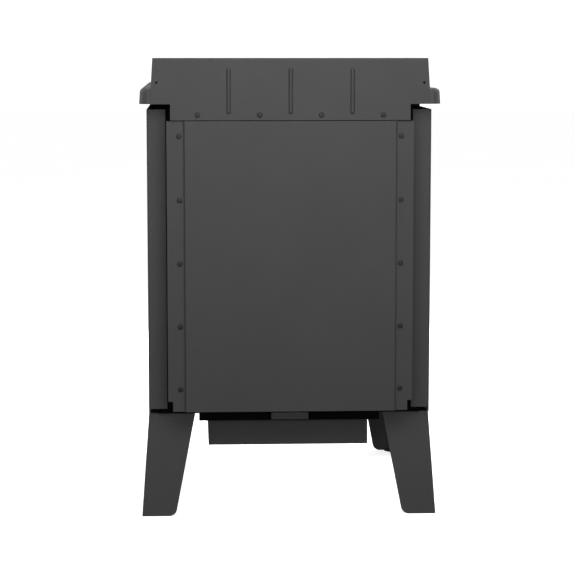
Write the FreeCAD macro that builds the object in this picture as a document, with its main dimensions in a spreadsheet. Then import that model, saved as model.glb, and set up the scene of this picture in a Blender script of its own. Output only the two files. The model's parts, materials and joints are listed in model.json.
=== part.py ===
import FreeCAD, Part
import os
import re
import Sketcher
from FreeCAD import Rotation, Vector

# A wood cookstove in millimetres: +Z is up, the front faces -Y and the legs stand on Z = 0.
# Left (-X) and right (+X) are those of a cook who faces the front.

# Driving dimensions.
SIZES = {
    # heights, from the floor up
    "leg_height": 220,
    "base_plate": 6,
    "fire_sill": 67,
    "fire_open_height": 190,
    "opening_gap": 98,
    "oven_open_height": 208,
    "oven_head": 115,
    # widths, from the middle outwards
    "door_open_width": 378,
    "liner_sheet": 3,
    "smoke_gap_side": 75,
    "shell_wall": 5,
    "side_air_gap": 22,
    "panel_sheet": 2,
    # depths, from the front to the rear
    "front_plate": 12,
    "oven_depth": 570,
    "smoke_gap_rear": 80,
    "shell_rear_inset": 8,
    # side panels
    "panel_return": 39,
    "panel_front_return": 20,
    "panel_bend": 4,
    "panel_top_gap": 12,
    "panel_bottom_gap": 11,
    "panel_lip": 10,
    "spacer_size": 12,
    # cooktop
    "cooktop_side_overhang": 14,
    "cooktop_front_overhang": 10,
    "cooktop_rear_overhang": 50,
    "cooktop_plate": 12,
    "cooktop_skirt": 33,
    "skirt_wall": 14,
    "skirt_draft": 3.3,
    "cooktop_corner": 20,
    "cooktop_edge": 9,
    "gasket_thickness": 3,
    "eye_radius": 110,
    "eye_spacing": 296,
    "eye_setback": 215,
    "eye_ledge_width": 8,
    "eye_ledge_depth": 6,
    "small_lid_radius": 62,
    "lid_gap": 0.5,
    "lid_underside_gap": 1,
    "lifter_length": 26,
    "lifter_width": 10,
    "lifter_depth": 4,
    "lifter_edge": 14,
    # flue
    "flue_radius": 77,
    "flue_wall_gap": 12,
    "flue_hole_gap": 3,
    "flue_boss": 3,
    "flue_boss_edge": 4,
    "collar_wall": 6,
    "collar_height": 55,
    "collar_flange": 15,
    "collar_flange_thickness": 6,
    # backguard
    "guard_rise": 61,
    "guard_drop": 33,
    "guard_sheet": 2,
    "guard_side_inset": 8,
    "guard_taper": 6,
    "guard_low_inset": 8,
    "guard_fold": 15,
    "guard_fold_bend": 4,
    "guard_pitch": 127,
    "guard_screw_up": 11,
    "guard_hole_radius": 2.5,
    "guard_hole_edge": 14,
    "guard_hole_drop": 50,
    "bead_width": 9,
    "bead_height": 3,
    "bead_top_margin": 20,
    "bead_bottom_margin": 12,
    "bracket_sheet": 2,
    "bracket_height": 24,
    "bracket_end_inset": 10,
    # rear heat shield
    "shield_sheet": 1.5,
    "shield_rise": 7,
    "shield_flange": 35.5,
    "shield_side_gap": 2.5,
    "shield_top_gap": 1.5,
    "shield_bottom_gap": 13,
    "shield_bend": 3,
    "shield_notch_width": 10,
    "shield_notch_height": 21,
    "shield_screw_edge": 26,
    "shield_screw_top": 31,
    "shield_screw_bottom": 47,
    "rail_width": 30,
    "rail_sheet": 2,
    "rail_top_gap": 8,
    "rail_bottom_gap": 32,
    # sheet metal screws
    "screw_head_radius": 5.5,
    "screw_tip_radius": 3.6,
    "screw_head_height": 3,
    "screw_radius": 2.4,
    "screw_length": 8,
    "screw_play": 0.2,
    # legs
    "leg_inset_side": 0,
    "leg_inset_end": 17,
    "leg_splay": 16,
    "leg_top_width": 98,
    "leg_bottom_width": 71,
    "leg_plate": 6,
    "leg_bend": 3,
    "leg_toe": 17,
    "foot_size": 46,
    "foot_cut": 20,
    "foot_plate": 5,
    "cap_size": 80,
    "cap_plate": 6,
    "bolt_radius": 4,
    "bolt_head_radius": 7,
    "bolt_head_height": 5,
    "bolt_play": 0.4,
    "base_lip": 3,
    "base_rear_inset": 6,
    # firebox
    "brick_floor": 30,
    "brick_wall": 25,
    "brick_joint": 0.6,
    "grate_width": 240,
    "grate_depth": 270,
    "grate_height": 24,
    "grate_bar": 14,
    "grate_slots": 9,
    "grate_rim": 20,
    "ash_hole_rim": 20,
    "tube_radius": 12,
    "tube_wall": 2,
    "tube_brick_gap": 4,
    "tube_pitch": 130,
    "baffle_board": 25,
    "baffle_front_gap": 110,
    "baffle_side_gap": 2,
    "smoke_gap_under": 45,
    # oven
    "rack_rail": 8,
    "rack_rail_height": 5,
    "rack_rail_pitch": 62,
    "rack_rail_end_gap": 20,
    "rack_wire": 2.5,
    "rack_frame_wire": 4,
    "rack_gap": 3,
    "rack_wires": 11,
    # doors
    "door_overlap": 27,
    "door_thickness": 22,
    "door_gap": 1.5,
    "door_edge": 6,
    "door_corner": 8,
    "rope_width": 10,
    "rope_groove": 4,
    "rope_inset": 8,
    "rope_gap": 0.3,
    "window_margin": 60,
    "window_rebate": 12,
    "glass_lap": 14,
    "glass_thickness": 5,
    "glass_gasket": 2,
    "glass_play": 1,
    "clip_length": 40,
    "clip_width": 18,
    "clip_thickness": 3,
    "oven_panel_margin": 38,
    "oven_panel_depth": 3,
    "dial_radius": 30,
    "dial_depth": 9,
    "dial_proud": 5,
    "dial_seat_gap": 0.4,
    # hinges
    "hinge_offset": 12,
    "knuckle_radius": 8,
    "knuckle_length": 30,
    "knuckle_inset": 36,
    "ear_thickness": 12,
    "pin_radius": 4,
    "pin_play": 0.05,
    "pin_stand": 3,
    "lug_height": 10,
    "lug_gap": 0.3,
    # latches
    "handle_reach": 56.5,
    "latch_inset": 20,
    "shaft_radius": 6,
    "shaft_play": 0.06,
    "shaft_end_gap": 1,
    "tongue_gap": 4,
    "tongue_thickness": 8,
    "tongue_width": 12,
    "tongue_length": 40,
    "keeper_side_gap": 6,
    "keeper_gap": 2,
    "keeper_thickness": 6,
    "keeper_base": 12,
    "keeper_height": 26,
    "arm_length": 34,
    "arm_thickness": 9,
    "arm_width": 14,
    "grip_radius": 11,
    "grip_neck": 8,
    "grip_length": 100,
    # ash box
    "chamber_leg_gap": 7.5,
    "chamber_height": 16,
    "chamber_sheet": 3,
    "chamber_front_gap": 30,
    "inlet_width": 78,
    "inlet_height": 15,
    "inlet_depth": 25,
    "inlet_drop": 1,
    "ash_inset": 20,
    "ash_height": 63,
    "ash_sheet": 2,
    "ash_rear_gap": 60,
    "ash_front_setback": 14,
    "drawer_play": 1.5,
    "drawer_sheet": 2,
    "drawer_rear_gap": 30,
    "drawer_front_plate": 8,
    "drawer_front_gap": 2,
    "drawer_front_rise": 12,
    "drawer_front_lap": 4,
    "drawer_lift": 0.3,
    "pull_span": 120,
    "pull_reach": 36,
    "pull_radius": 6,
    "pull_up": 4,
    # primary air slider
    "slider_width": 190,
    "slider_height": 20,
    "slider_thickness": 4,
    "slider_gap": 0.4,
    "slider_travel": 20,
    "air_hole_radius": 7,
    "air_hole_pitch": 40,
    "guide_height": 4,
    "guide_lip": 3,
    "guide_lip_thickness": 3,
    "guide_overrun": 30,
    "knob_radius": 12,
    "knob_length": 22,
    "knob_neck": 5,
    "knob_stem": 10,
    "slider_knob_edge": 16,
    # bypass damper
    "damper_plate": 4,
    "damper_lift": 6,
    "damper_side_gap": 3,
    "damper_lap": 12,
    "damper_travel": 70,
    "ledge_width": 16,
    "ledge_height": 5,
    "rod_radius": 5,
    "rod_play": 0.5,
    "rod_stand": 8,
    "tab_width": 26,
    "tab_thickness": 6,
}

# Places and sizes that follow from the driving dimensions.
LAYOUT = {
    # heights
    "base_top": "leg_height + base_plate",
    "fire_open_bottom": "base_top + fire_sill",
    "fire_open_top": "fire_open_bottom + fire_open_height",
    "oven_open_bottom": "fire_open_top + opening_gap",
    "oven_open_top": "oven_open_bottom + oven_open_height",
    "cooktop_height": "oven_open_top + oven_head",
    "skirt_bottom": "cooktop_height - cooktop_skirt",
    "cooktop_under": "cooktop_height - cooktop_plate",
    "shell_top": "cooktop_under - gasket_thickness",
    "casing_top": "skirt_bottom - panel_top_gap",
    "casing_bottom": "leg_height + panel_bottom_gap",
    "guard_top": "cooktop_height + guard_rise",
    "guard_bottom": "skirt_bottom - guard_drop",
    "shield_top": "guard_bottom - shield_top_gap",
    "shield_bottom": "leg_height + shield_bottom_gap",
    "brick_top": "base_top + brick_floor",
    "baffle_bottom": "oven_open_bottom - liner_sheet - smoke_gap_under - baffle_board",
    "tube_height": "baffle_bottom - tube_radius",
    "chamber_bottom": "leg_height - chamber_height",
    "ash_bottom": "chamber_bottom - ash_height",
    "damper_bottom": "oven_open_top + liner_sheet + damper_lift",
    "rod_height": "(oven_open_top + door_overlap + casing_top) / 2",
    "slider_middle": "(casing_bottom + fire_open_bottom - door_overlap) / 2",
    # widths
    "shell_inside": "door_open_width + 2 * (liner_sheet + smoke_gap_side)",
    "shell_width": "shell_inside + 2 * shell_wall",
    "casing_width": "shell_width + 2 * (side_air_gap + panel_sheet)",
    "cooktop_width": "casing_width + 2 * cooktop_side_overhang",
    "shield_width": "casing_width - 2 * (panel_return + shield_side_gap)",
    "guard_low_width": "shield_width - 2 * guard_low_inset",
    "guard_width": "casing_width - 2 * guard_side_inset",
    "guard_top_width": "guard_width - 2 * guard_taper",
    "chamber_width": "casing_width - 2 * (leg_inset_side + leg_top_width + chamber_leg_gap)",
    "ash_width": "chamber_width - 2 * ash_inset",
    "drawer_width": "ash_width - 2 * (ash_sheet + drawer_play)",
    "ash_hole_width": "grate_width - 2 * ash_hole_rim",
    "ash_hole_depth": "grate_depth - 2 * ash_hole_rim",
    "leg_corner_x": "casing_width / 2 - leg_inset_side",
    "rail_middle": "shield_width / 2 - (shield_flange + shield_bend) / 2",
    "screw_x": "shield_width / 2 - shield_screw_edge",
    # depths: the casing's rear face lies so that the whole stove is centred on Y = 0
    "casing_depth": "front_plate + 2 * shell_wall + oven_depth + smoke_gap_rear + shell_rear_inset",
    "cooktop_depth": "casing_depth + cooktop_front_overhang + cooktop_rear_overhang",
    "front_reach": "door_gap + door_thickness + handle_reach",
    "rear_reach": "cooktop_rear_overhang + guard_sheet + screw_head_height",
    "rear": "(casing_depth + front_reach - rear_reach) / 2",
    "front": "rear - casing_depth",
    "plate_back": "front + front_plate",
    "inside_front": "plate_back + shell_wall",
    "shell_back": "rear - shell_rear_inset",
    "inside_back": "shell_back - shell_wall",
    "inside_depth": "inside_back - inside_front",
    "oven_back": "inside_front + oven_depth",
    "cooktop_back": "rear + cooktop_rear_overhang",
    "cooktop_front": "cooktop_back - cooktop_depth",
    "guard_back": "cooktop_back + guard_sheet",
    "flange_back": "guard_back - shield_rise",
    "flange_front": "flange_back - shield_sheet",
    "flue_y": "inside_back - flue_radius - flue_wall_gap",
    "eye_y": "cooktop_front + eye_setback",
    "grate_middle": "(inside_front + inside_back) / 2",
    "door_back": "front - door_gap",
    "door_face": "door_back - door_thickness",
    "chamber_front": "plate_back + chamber_front_gap",
    "chamber_back": "rear - base_rear_inset",
    "ash_front": "front + ash_front_setback",
    "ash_back": "rear - ash_rear_gap",
    "drawer_panel_back": "ash_front - drawer_front_gap",
    "drawer_panel_face": "drawer_panel_back - drawer_front_plate",
    # doors, hinges and latches
    "door_width": "door_open_width + 2 * door_overlap",
    "hinge_x": "0 - door_width / 2 - hinge_offset",
    "hinge_y": "(door_back + door_face) / 2",
    "latch_x": "door_width / 2 - latch_inset",
    "tongue_back": "door_face - tongue_gap",
    "tongue_face": "tongue_back - tongue_thickness",
    "keeper_lip": "tongue_face - keeper_gap",
    "grip_y": "front - front_reach + grip_radius",
    "rope_outset": "door_overlap - rope_inset",
    "fire_door_middle": "(fire_open_bottom + fire_open_top) / 2",
    "oven_door_middle": "(oven_open_bottom + oven_open_top) / 2",
    "window_width": "door_width - 2 * window_margin",
    "window_height": "fire_open_height + 2 * (door_overlap - window_margin)",
    "glass_front": "door_back - window_rebate + glass_gasket",
    "dial_seat": "door_face + oven_panel_depth",
    # round shapes
    "bead_radius": "(bead_width * bead_width / 4 + bead_height * bead_height) / (2 * bead_height)",
    "bead_axis": "guard_back + bead_height - bead_radius",
}

doc = FreeCAD.newDocument("WoodCookstove")
pieces = []


# Sheets and expressions

def fill_sheet(name, cells):
    sheet = doc.addObject("Spreadsheet::Sheet", name)
    for row, (alias, content) in enumerate(cells.items(), 1):
        sheet.set(f"A{row}", alias)
        sheet.set(f"B{row}", content)
        sheet.setAlias(f"B{row}", alias)
    doc.recompute()
    return sheet


def qualify(text, names, sheet_name):
    def full_name(found):
        word = found.group()
        return f"{sheet_name}.{word}" if word in names else word
    return re.sub(r"(?<![\w.])[a-z]\w*", full_name, text)


def link(text):
    return qualify(qualify(text, SIZES, "Sizes"), LAYOUT, "Layout")


fill_sheet("Sizes", {alias: str(number) for alias, number in SIZES.items()})
formulas = {alias: "=" + qualify(formula, SIZES, "Sizes") for alias, formula in LAYOUT.items()}
layout = fill_sheet("Layout", formulas)


def value(text):
    return float(layout.evalExpression(link(text)))


def bind(obj, attribute, text):
    obj.setExpression(attribute, link(text))


def place(obj, point):
    for axis, text in zip("xyz", point):
        bind(obj, f"Placement.Base.{axis}", text)


# Primitives and booleans

AXIS_TURNS = {
    "x": Rotation(Vector(0, 0, 1), Vector(1, 0, 0)),
    "y": Rotation(Vector(0, 0, 1), Vector(0, 1, 0)),
    "z": Rotation(),
}


def box(name, low, high):
    obj = doc.addObject("Part::Box", name)
    for attribute, start, end in zip(("Length", "Width", "Height"), low, high):
        bind(obj, attribute, f"({end}) - ({start})")
    place(obj, low)
    return obj


def rod(name, radius, length, start, axis):
    obj = doc.addObject("Part::Cylinder", name)
    bind(obj, "Radius", radius)
    bind(obj, "Height", length)
    obj.Placement.Rotation = AXIS_TURNS[axis]
    place(obj, start)
    return obj


def ball(name, radius, centre):
    obj = doc.addObject("Part::Sphere", name)
    bind(obj, "Radius", radius)
    place(obj, centre)
    return obj


def group(name, members):
    obj = doc.addObject("Part::Compound", name)
    obj.Links = members
    return obj


def fuse(name, members):
    obj = doc.addObject("Part::MultiFuse", name)
    obj.Shapes = members
    obj.Refine = True
    return obj


def cut(name, base, tools):
    obj = doc.addObject("Part::Cut", name)
    obj.Base = base
    obj.Tool = tools[0] if len(tools) == 1 else group(name + "_tools", tools)
    return obj


def finish(label, obj):
    obj.Label = label
    pieces.append(obj)
    return obj


# Bodies made from sketches

def start_body(name, corner=("0", "0", "0"), turn=0):
    body = doc.addObject("PartDesign::Body", name)
    body.Placement.Rotation = Rotation(Vector(0, 0, 1), turn)
    place(body, corner)
    return body


def new_sketch(body, plane, offset="0"):
    sketch = body.newObject("Sketcher::SketchObject", body.Name + "_sketch")
    support = next(item for item in body.Origin.OriginFeatures if item.Role == plane)
    sketch.AttachmentSupport = [(support, "")]
    sketch.MapMode = "FlatFace"
    bind(sketch, "AttachmentOffset.Base.z", offset)
    return sketch


def hold_point(sketch, geometry, vertex, point, spot):
    for kind, text, datum in zip(("DistanceX", "DistanceY"), point, (spot.x, spot.y)):
        index = sketch.addConstraint(Sketcher.Constraint(kind, -1, 1, geometry, vertex, datum))
        bind(sketch, f"Constraints[{index}]", text)


def add_polygon(sketch, points):
    first = sketch.GeometryCount
    count = len(points)
    spots = [Vector(value(x), value(y), 0) for x, y in points]
    for index in range(count):
        sketch.addGeometry(Part.LineSegment(spots[index], spots[(index + 1) % count]), False)
    for index in range(count):
        following = first + (index + 1) % count
        sketch.addConstraint(Sketcher.Constraint("Coincident", first + index, 2, following, 1))
    for index in range(count):
        hold_point(sketch, first + index, 1, points[index], spots[index])


def add_rectangle(sketch, low, high):
    add_polygon(sketch, [low, (high[0], low[1]), high, (low[0], high[1])])


def add_circle(sketch, centre, radius):
    spot = Vector(value(centre[0]), value(centre[1]), 0)
    circle = Part.Circle(spot, Vector(0, 0, 1), value(radius))
    geometry = sketch.addGeometry(circle, False)
    hold_point(sketch, geometry, 3, centre, spot)
    index = sketch.addConstraint(Sketcher.Constraint("Radius", geometry, value(radius)))
    bind(sketch, f"Constraints[{index}]", radius)


def pad(body, sketch, length, backwards=False):
    feature = body.newObject("PartDesign::Pad", body.Name + "_pad")
    feature.Profile = sketch
    feature.Reversed = backwards
    bind(feature, "Length", length)
    return feature


def pocket(body, sketch, depth, backwards=False):
    doc.recompute()
    volume = body.Shape.Volume
    feature = body.newObject("PartDesign::Pocket", body.Name + "_pocket")
    feature.Profile = sketch
    feature.Reversed = backwards
    bind(feature, "Length", depth)
    doc.recompute()
    if not body.Shape.Volume < volume:
        raise RuntimeError(f"{feature.Name} removes nothing")
    return feature


def revolve(body, points):
    sketch = new_sketch(body, "XZ_Plane")
    add_polygon(sketch, points)
    feature = body.newObject("PartDesign::Revolution", body.Name + "_turned")
    feature.Profile = sketch
    feature.ReferenceAxis = (sketch, ["V_Axis"])
    return feature


def lies_at(edge, **coordinates):
    middle = edge.valueAt((edge.FirstParameter + edge.LastParameter) / 2)
    return all(abs(getattr(middle, axis) - value(text)) < 0.01 for axis, text in coordinates.items())


def fillet(body, feature, places, radius):
    doc.recompute()
    chosen = []
    for number, edge in enumerate(feature.Shape.Edges, 1):
        if any(lies_at(edge, **spot) for spot in places):
            chosen.append(f"Edge{number}")
    if not chosen:
        raise RuntimeError(f"{body.Name} has no edge to round")
    rounded = body.newObject("PartDesign::Fillet", body.Name + "_fillet")
    rounded.Base = (feature, chosen)
    bind(rounded, "Radius", radius)
    return rounded


def turned_piece(label, centre, points):
    body = start_body(label, centre)
    revolve(body, points)
    return body


# Screws

def screw(name, start):
    shank_start = (start[0], f"({start[1]}) - screw_length", start[2])
    shank = rod(name + "_shank", "screw_radius", "screw_length + screw_head_height / 2", shank_start, "y")
    head = doc.addObject("Part::Cone", name + "_head")
    bind(head, "Radius1", "screw_head_radius")
    bind(head, "Radius2", "screw_tip_radius")
    bind(head, "Height", "screw_head_height")
    head.Placement.Rotation = AXIS_TURNS["y"]
    place(head, start)
    return fuse(name, [shank, head])


def screw_hole(name, spot, face):
    start = (spot[0], f"({face}) - screw_length", spot[1])
    return rod(name, "screw_radius + screw_play", "2 * screw_length", start, "y")


# Legs and base

def add_wedge(body, kind, inset, bottom_width, top_width):
    wedge = body.newObject(f"PartDesign::{kind}Wedge", body.Name + "_wedge")
    wedge.Placement.Rotation = Rotation(Vector(1, 1, 1), 120)
    bind(wedge, "Ymin", "0")
    bind(wedge, "Ymax", "leg_height")
    for axis in "XZ":
        bind(wedge, f"{axis}min", inset)
        bind(wedge, f"{axis}max", bottom_width)
        bind(wedge, f"{axis}2min", f"leg_splay + {inset}")
        bind(wedge, f"{axis}2max", f"leg_splay + {top_width}")
    return wedge


def make_leg(label, turn, corner):
    body = start_body(label, corner, turn)
    add_wedge(body, "Additive", "0", "leg_bottom_width", "leg_top_width")
    inside = add_wedge(body, "Subtractive", "leg_plate", "2 * leg_bottom_width", "2 * leg_top_width")
    toe_edges = [{"x": "leg_bottom_width", "z": "0"}, {"y": "leg_bottom_width", "z": "0"}]
    toes = fillet(body, inside, toe_edges, "leg_toe")
    fillet(body, toes, [{"x": "leg_splay", "z": "leg_height"}, {"y": "leg_splay", "z": "leg_height"},
                        {"x": "leg_splay / 2", "y": "leg_splay / 2"}], "leg_bend")
    inset = "leg_plate / 2"
    foot = new_sketch(body, "XY_Plane")
    add_polygon(foot, [(inset, inset), ("foot_size", inset), ("foot_size", "foot_cut"),
                       ("foot_cut", "foot_size"), (inset, "foot_size")])
    pad(body, foot, "foot_plate")
    cap = new_sketch(body, "XY_Plane", "leg_height - cap_plate")
    cap_start = "leg_splay + leg_plate / 2"
    cap_end = "leg_splay + cap_size"
    cap_middle = "leg_splay + cap_size / 2"
    add_rectangle(cap, (cap_start, cap_start), (cap_end, cap_end))
    add_circle(cap, (cap_middle, cap_middle), "bolt_radius + bolt_play")
    pad(body, cap, "cap_plate")
    finish(label, body)


LEG_X = "(leg_corner_x + leg_splay)"
LEG_FRONT = "front + leg_inset_end - leg_splay"
LEG_REAR = "rear - leg_inset_end + leg_splay"
LEGS = ("leg_front_left", "leg_front_right", "leg_rear_right", "leg_rear_left")


def leg_corner(leg):
    side = "-" if leg.endswith("left") else "+"
    end, inwards = (LEG_FRONT, "+") if "front" in leg else (LEG_REAR, "-")
    return side, end, inwards


def bolt_spot(leg):
    side, end, inwards = leg_corner(leg)
    reach = "(leg_splay + cap_size / 2)"
    return (f"0 {side} ({LEG_X} - {reach})", f"{end} {inwards} {reach}")


def make_stand():
    bolts = []
    bolt_holes = []
    for quarter, label in enumerate(LEGS):
        side, end, inwards = leg_corner(label)
        make_leg(label, 90 * quarter, (f"0 {side} {LEG_X}", end, "0"))
        x, y = bolt_spot(label)
        name = label + "_bolt"
        shank_start = (x, y, "leg_height - cap_plate")
        shank = rod(name + "_shank", "bolt_radius", "cap_plate + base_plate", shank_start, "z")
        head_start = (x, y, "leg_height - cap_plate - bolt_head_height")
        head = rod(name + "_head", "bolt_head_radius", "bolt_head_height", head_start, "z")
        bolts.append(fuse(name, [shank, head]))
        hole_start = (x, y, "leg_height")
        bolt_holes.append(rod(name + "_hole", "bolt_radius + bolt_play", "base_plate", hole_start, "z"))
    finish("leg_bolts", group("leg_bolts", bolts))
    half = "shell_width / 2 + base_lip"
    plate = box("base_blank", (f"0 - ({half})", "plate_back", "leg_height"),
                (half, "chamber_back", "base_top"))
    hole = ash_hole("base_ash_hole", "leg_height", "base_top")
    finish("base_plate", cut("base_plate_piece", plate, [hole] + bolt_holes))


def ash_hole(name, low, high):
    return box(name, ("0 - ash_hole_width / 2", "grate_middle - ash_hole_depth / 2", low),
               ("ash_hole_width / 2", "grate_middle + ash_hole_depth / 2", high))


# Shell and casing

AIR_HOLES = (-1.5, -0.5, 0.5, 1.5)


def add_front_openings(sketch):
    half = "door_open_width / 2"
    add_rectangle(sketch, (f"0 - {half}", "fire_open_bottom"), (half, "fire_open_top"))
    add_rectangle(sketch, (f"0 - {half}", "oven_open_bottom"), (half, "oven_open_top"))
    add_circle(sketch, ("0", "rod_height"), "rod_radius + rod_play")
    for step in AIR_HOLES:
        add_circle(sketch, (f"{step} * air_hole_pitch", "slider_middle"), "air_hole_radius")


def make_side_wall(label, side):
    outer = f"{side} * shell_width / 2"
    inner = f"{side} * shell_inside / 2"
    ledge = f"{side} * (shell_inside / 2 - ledge_width)"
    low, high = (outer, inner) if side < 0 else (inner, outer)
    wall = box(label + "_plate", (low, "inside_front", "base_top"), (high, "inside_back", "shell_top"))
    low, high = (inner, ledge) if side < 0 else (ledge, inner)
    ledge_front = "oven_back - damper_lap - damper_travel"
    ledge_bar = box(label + "_ledge", (low, ledge_front, "damper_bottom - ledge_height"),
                    (high, "inside_back", "damper_bottom"))
    finish(label, fuse(label, [wall, ledge_bar]))


def front_hole(name, x, z, radius):
    return rod(name, radius, "shell_wall", (x, "plate_back", z), "y")


# The front wall is welded up from strips around the two door openings.
def make_front_wall():
    half = "shell_width / 2"
    inner = "door_open_width / 2"
    levels = ("base_top", "fire_open_bottom", "fire_open_top",
              "oven_open_bottom", "oven_open_top", "shell_top")
    rails = []
    for low, high in zip(levels[::2], levels[1::2]):
        rails.append(box("front_rail", (f"0 - {half}", "plate_back", low), (half, "inside_front", high)))
    stiles = []
    for low, high in zip(levels[1:-1:2], levels[2::2]):
        for near, far in ((f"0 - {half}", f"0 - {inner}"), (inner, half)):
            stiles.append(box("front_stile", (near, "plate_back", low), (far, "inside_front", high)))
    air_holes = [front_hole("front_air_hole", f"{step} * air_hole_pitch", "slider_middle", "air_hole_radius")
                 for step in AIR_HOLES]
    rails[0] = cut("front_air_rail", rails[0], air_holes)
    rod_hole = front_hole("front_rod_hole", "0", "rod_height", "rod_radius + rod_play")
    rails[2] = cut("front_rod_rail", rails[2], [rod_hole])
    finish("shell_front_wall", group("shell_front_wall", rails + stiles))


def make_shell():
    make_side_wall("shell_left_wall", -1)
    make_side_wall("shell_right_wall", 1)
    half = "shell_width / 2"
    finish("shell_rear_wall", box("shell_rear_wall", (f"0 - {half}", "inside_back", "base_top"),
                                  (half, "shell_back", "shell_top")))
    make_front_wall()

    plate = start_body("front_plate")
    sketch = new_sketch(plate, "XZ_Plane", "0 - plate_back")
    half = "casing_width / 2"
    add_rectangle(sketch, (f"0 - {half}", "casing_bottom"), (half, "casing_top"))
    add_front_openings(sketch)
    blank = pad(plate, sketch, "front_plate")
    fillet(plate, blank, [{"x": half, "y": "front"}, {"x": f"0 - {half}", "y": "front"}], "panel_bend")
    finish("front_plate", plate)

    ring = box("gasket_blank", ("0 - shell_width / 2", "plate_back", "shell_top"),
               ("shell_width / 2", "shell_back", "cooktop_under"))
    middle = box("gasket_middle", ("0 - shell_inside / 2", "inside_front", "shell_top"),
                 ("shell_inside / 2", "inside_back", "cooktop_under"))
    finish("cooktop_gasket", cut("cooktop_gasket", ring, [middle]))


def make_side_panel(label, side):
    panel = start_body(label, ("0", "0", "casing_bottom - panel_lip"))
    outer = "casing_width / 2"
    skin = f"({outer} - panel_sheet)"
    rear_end = f"({outer} - panel_return)"
    front_end = f"({outer} - panel_front_return)"
    rear_inner = "rear - panel_sheet"
    front_inner = "plate_back + panel_sheet"
    outline = [(outer, "plate_back"), (outer, "rear"), (rear_end, "rear"), (rear_end, rear_inner),
               (skin, rear_inner), (skin, front_inner), (front_end, front_inner), (front_end, "plate_back")]
    sketch = new_sketch(panel, "XY_Plane")
    add_polygon(sketch, [(f"{side} * {x}", y) for x, y in outline])
    sheet = pad(panel, sketch, "casing_top - casing_bottom + panel_lip")
    outside = fillet(panel, sheet, [{"x": f"{side} * {outer}", "y": "plate_back"},
                                    {"x": f"{side} * {outer}", "y": "rear"}], "panel_bend")
    fillet(panel, outside, [{"x": f"{side} * {skin}", "y": rear_inner},
                            {"x": f"{side} * {skin}", "y": front_inner}], "panel_bend - panel_sheet")
    # the skin runs down past the base plate as a lip, so both returns are notched at its height
    notches = new_sketch(panel, "XY_Plane")
    for end, low, high in ((rear_end, rear_inner, "rear"), (front_end, "plate_back", front_inner)):
        add_rectangle(notches, (f"{side} * {end}", low), (f"{side} * ({outer} - panel_bend)", high))
    pocket(panel, notches, "panel_lip", backwards=True)
    finish(label, panel)


def make_casing():
    make_side_panel("side_panel_left", -1)
    make_side_panel("side_panel_right", 1)
    spacers = []
    middle = "((shell_width + casing_width) / 4 - panel_return / 2)"
    for side in (-1, 1):
        for level in (0.1, 0.5, 0.9):
            height = f"casing_bottom + {level} * (casing_top - casing_bottom)"
            spacers.append(box("spacer", (f"{side} * {middle} - spacer_size / 2", "shell_back", height),
                               (f"{side} * {middle} + spacer_size / 2", "rear - panel_sheet",
                                f"{height} + spacer_size")))
    finish("panel_spacers", group("panel_spacers", spacers))


# Rear heat shield

SHIELD_SCREWS = 5


def shield_screw_spots():
    pitch = f"(shield_top - shield_bottom - shield_screw_top - shield_screw_bottom) / {SHIELD_SCREWS - 1}"
    for side in (-1, 1):
        for row in range(SHIELD_SCREWS):
            yield (f"{side} * screw_x", f"shield_bottom + shield_screw_bottom + {row} * {pitch}")


def make_shield():
    body = start_body("shield_sheet_body", ("0", "0", "shield_bottom"))
    sketch = new_sketch(body, "XY_Plane")
    edge = "shield_width / 2"
    step = f"({edge} - shield_flange)"
    inside = f"({step} - shield_sheet)"
    crown = "guard_back"
    crown_inner = "(guard_back - shield_sheet)"
    half = [(edge, "flange_front"), (edge, "flange_back"), (step, "flange_back"), (step, crown)]
    inner_half = [(inside, crown_inner), (inside, "flange_front")]
    mirrored = [(f"0 - {x}", y) for x, y in reversed(half)]
    inner_mirrored = [(f"0 - {x}", y) for x, y in reversed(inner_half)]
    add_polygon(sketch, half + mirrored + inner_mirrored + inner_half)
    sheet = pad(body, sketch, "shield_top - shield_bottom")
    fillet(body, sheet, [{"x": step, "y": crown}, {"x": f"0 - {step}", "y": crown}], "shield_bend")
    tools = []
    for side in (-1, 1):
        outer = f"{side} * {edge}"
        inner = f"{side} * ({edge} - shield_notch_width)"
        low, high = (outer, inner) if side < 0 else (inner, outer)
        tools.append(box("shield_notch", (low, "flange_front", "shield_bottom"),
                         (high, "flange_back", "shield_bottom + shield_notch_height")))
    tools += [screw_hole("shield_hole", spot, "flange_back") for spot in shield_screw_spots()]
    finish("rear_heat_shield", cut("rear_heat_shield", body, tools))

    rails = []
    for side in (-1, 1):
        rail = start_body("rail_body", ("0", "0", "shield_bottom + rail_bottom_gap"))
        low = f"({side} * rail_middle - rail_width / 2)"
        high = f"({side} * rail_middle + rail_width / 2)"
        web = "flange_front - rail_sheet"
        sketch = new_sketch(rail, "XY_Plane")
        low_inner = f"{low} + rail_sheet"
        high_inner = f"{high} - rail_sheet"
        add_polygon(sketch, [(low, "shell_back"), (low, "flange_front"), (high, "flange_front"),
                             (high, "shell_back"), (high_inner, "shell_back"), (high_inner, web),
                             (low_inner, web), (low_inner, "shell_back")])
        pad(rail, sketch, "shield_top - rail_top_gap - shield_bottom - rail_bottom_gap")
        spots = [spot for spot in shield_screw_spots() if spot[0].startswith(f"{side} ")]
        holes = [screw_hole("rail_hole", spot, "flange_back") for spot in spots]
        rails.append(cut("rail", rail, holes))
    finish("shield_rails", group("shield_rails", rails))
    screws = [screw("shield_screw", (x, "flange_back", z)) for x, z in shield_screw_spots()]
    finish("shield_screws", group("shield_screws", screws))


# Backguard

def guard_screw_spots():
    return [(f"{step} * guard_pitch", "guard_bottom + guard_screw_up") for step in (-1.5, -0.5, 0.5, 1.5)]


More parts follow.
